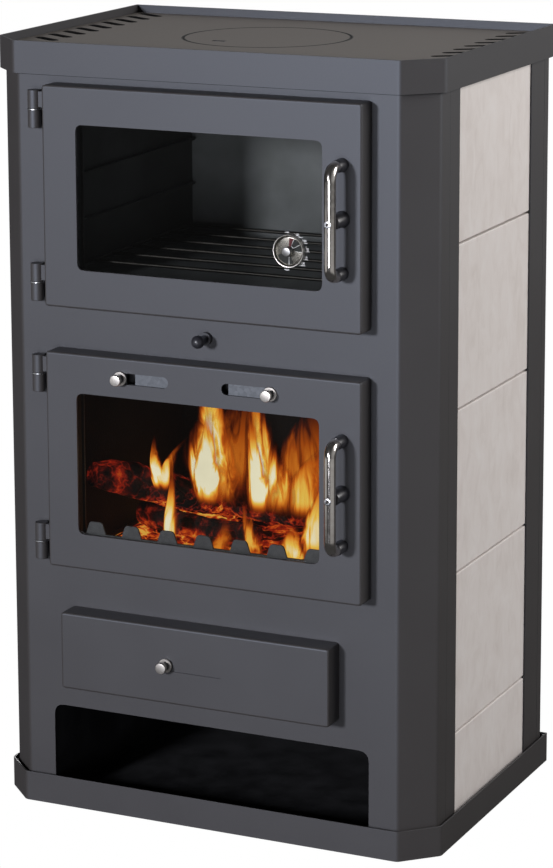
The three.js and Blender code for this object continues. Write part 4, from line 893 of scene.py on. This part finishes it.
for name, start, end, thick, level_high, seed in (
    ("log_back_left", (-182, -150, 418), (-52, 40, 352), 21, 1.15, 1),
    ("log_front_left", (-160, -60, 348), (20, -95, 346), 17, 1.0, 2),
    ("log_right", (-95, 10, 366), (180, -40, 372), 21, 0.85, 3),
    ("log_cross", (-40, 80, 384), (120, 20, 404), 20, 0.9, 4),
):
    start, end = Vector(start) * MM, Vector(end) * MM
    steps, sides = 60, 32
    axis = (end - start).normalized()
    side = axis.orthogonal().normalized()
    body = bmesh.new()
    rings = []
    for i in range(steps + 1):
        t = i / steps
        point = start.lerp(end, t) + Vector((0, 0, 4 * MM * math.sin(t * 5 + seed)))
        taper = min(1, 0.72 + 2.4 * min(t, 1 - t))
        ring = []
        for k in range(sides):
            turn = Matrix.Rotation(2 * math.pi * k / sides, 3, axis) @ side
            at = point + turn * 30 * MM
            bark = 1 + 0.16 * noise.noise(at / (26 * MM)) + 0.07 * noise.noise(at / (8 * MM))
            ring.append(body.verts.new(point + turn * thick * MM * taper * bark))
        rings.append(ring)
    skin(body, rings, ends=True)
    bmesh.ops.recalc_face_normals(body, faces=body.faces)
    log = settle(name, body, [charcoal], 60)
    middle_z = (start.z + end.z) / 2

    def log_level(p):
        """A log glows most on its underside."""
        under = max(0.0, min(1.0, (middle_z - p.z) / (thick * MM) + 0.25))
        return level_high * (0.4 + 0.6 * under)

    glowing(log, log_level)
    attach(log, "stove")

# Flames: thin glowing gas, so each is a curved sheet whose light fades to clear at its edges.
# They are white-yellow at the core, orange outside and dark red at the tips.
flame, tree, shader, place = begin("flame")
field = add(tree, "Attribute", attribute_name="flow").outputs["Vector"]
flow = add(tree, "SeparateXYZ", {"Vector": field}).outputs
# Wisps are 14 mm wide and five times as tall
wisp_place = add(tree, "Mapping", {"Vector": place, "Scale": (1, 1, 0.2)}).outputs[0]
wisp = add(tree, "TexNoise", {
    "Vector": wisp_place, "Scale": 1 / (14 * MM), "Detail": 3.0, "Roughness": 0.5, "Distortion": 1.2,
}).outputs["Fac"]
off = add(tree, "Math", {0: wisp, 1: 1.7, 2: -0.8}, operation="MULTIPLY_ADD").outputs[0]
away = add(tree, "Math", {0: flow["X"], 1: flow["X"], 2: off}, operation="MULTIPLY_ADD").outputs[0]
core = add(tree, "MapRange", {
    "Value": away, "From Min": -0.1, "To Min": 1.0, "To Max": 0.0,
}, interpolation_type="SMOOTHSTEP").outputs[0]
fade = add(tree, "MapRange", {
    "Value": flow["Y"], "From Min": 0.3, "To Min": 1.0, "To Max": 0.0,
}, interpolation_type="SMOOTHSTEP").outputs[0]
foot_fade = add(tree, "MapRange", {
    "Value": flow["Y"], "From Max": 0.25,
}, interpolation_type="SMOOTHSTEP").outputs[0]
side = add(tree, "Math", {0: flow["X"]}, operation="ABSOLUTE").outputs[0]
side_fade = add(tree, "MapRange", {
    "Value": side, "From Min": 0.7, "To Min": 1.0, "To Max": 0.0,
}).outputs[0]
heat = core
for factor in (fade, foot_fade, side_fade, flow["Z"]):
    heat = add(tree, "Math", {0: heat, 1: factor}, operation="MULTIPLY").outputs[0]
shine = add(tree, "ValToRGB", {"Fac": heat}, [
    (0.0, "#260600"), (0.2, "#7c2a08"), (0.42, "#cc5c10"),
    (0.6, "#f0902a"), (0.8, "#ffd25a"), (0.98, "#fff8d8"),
])
cover = add(tree, "MapRange", {"Value": heat, "From Min": 0.02, "From Max": 0.6}).outputs[0]
light = add(tree, "Emission", {"Color": shine.outputs["Color"], "Strength": 1.2})
clear = add(tree, "BsdfTransparent")
mix = add(tree, "MixShader", {"Fac": cover, 1: clear.outputs[0], 2: light.outputs[0]})
tree.links.new(mix.outputs[0], tree.nodes["Material Output"].inputs["Surface"])
tree.nodes.remove(shader)
for name, root, height, width, lean, sway, strength in (
    ("flame_main_core", (-46, -108, 376), 160, 28, 4, 6, 1.5),
    ("flame_main", (-46, -98, 376), 235, 42, 4, 6, 1.15),
    ("flame_main_edge", (-38, -86, 372), 160, 52, -14, 9, 0.85),
    ("flame_main_veil", (-30, -50, 372), 200, 84, 10, 12, 0.5),
    ("flame_right_core", (22, -108, 372), 160, 22, 10, 10, 1.35),
    ("flame_right", (22, -98, 372), 220, 33, 10, 10, 1.05),
    ("flame_right_edge", (34, -84, 366), 160, 50, -18, 12, 0.85),
    ("flame_right_veil", (66, -50, 366), 190, 76, 20, 14, 0.55),
    ("flame_wisp_right", (78, -90, 366), 130, 36, 26, 16, 0.85),
    ("flame_wisp_far", (100, -70, 366), 170, 28, -6, 12, 0.6),
    ("flame_far_right", (112, -130, 330), 150, 26, 12, 8, 0.95),
    ("flame_small", (-112, -108, 392), 84, 17, -6, 4, 1.1),
    ("flame_small_lean", (-104, -104, 392), 84, 16, 34, 5, 0.95),
    ("flame_low_left", (-84, -128, 324), 122, 16, -10, 6, 1.0),
    ("flame_low_right", (26, -128, 322), 100, 19, -4, 7, 0.75),
    ("flame_low_far", (74, -124, 320), 70, 30, 10, 6, 0.95),
    ("flame_low_middle", (-22, -120, 320), 64, 24, 8, 6, 0.6),
    ("flame_back_left", (-100, 10, 380), 130, 52, 14, 12, 0.34),
):
    root = Vector(root) * MM
    wide, tall = 14, 40
    body = bmesh.new()
    rows, flows = [], []
    for j in range(tall + 1):
        t = j / tall
        swell = (1 - t) ** 0.55 * (0.62 + 0.38 * math.sin(math.pi * min(1, 0.12 + 1.3 * t)))
        bend = sway * math.sin(5.2 * t + root.x * 40) * t
        ripple = 6 * math.sin(4 * t + root.x * 90)
        row = []
        for i in range(wide + 1):
            u = 2 * i / wide - 1
            across = u * width * swell + lean * t * t + bend
            row.append(body.verts.new(root + Vector((across, 9 * u * u + ripple, height * t)) * MM))
            flows.append((u, t, strength))
        rows.append(row)
    skin(body, rows, wrap=False)
    sheet_of_fire = settle(name, body, [flame], 180)
    field = sheet_of_fire.data.attributes.new("flow", "FLOAT_VECTOR", "POINT")
    for i, value in enumerate(flows):
        field.data[i].vector = value
    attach(sheet_of_fire, "stove")
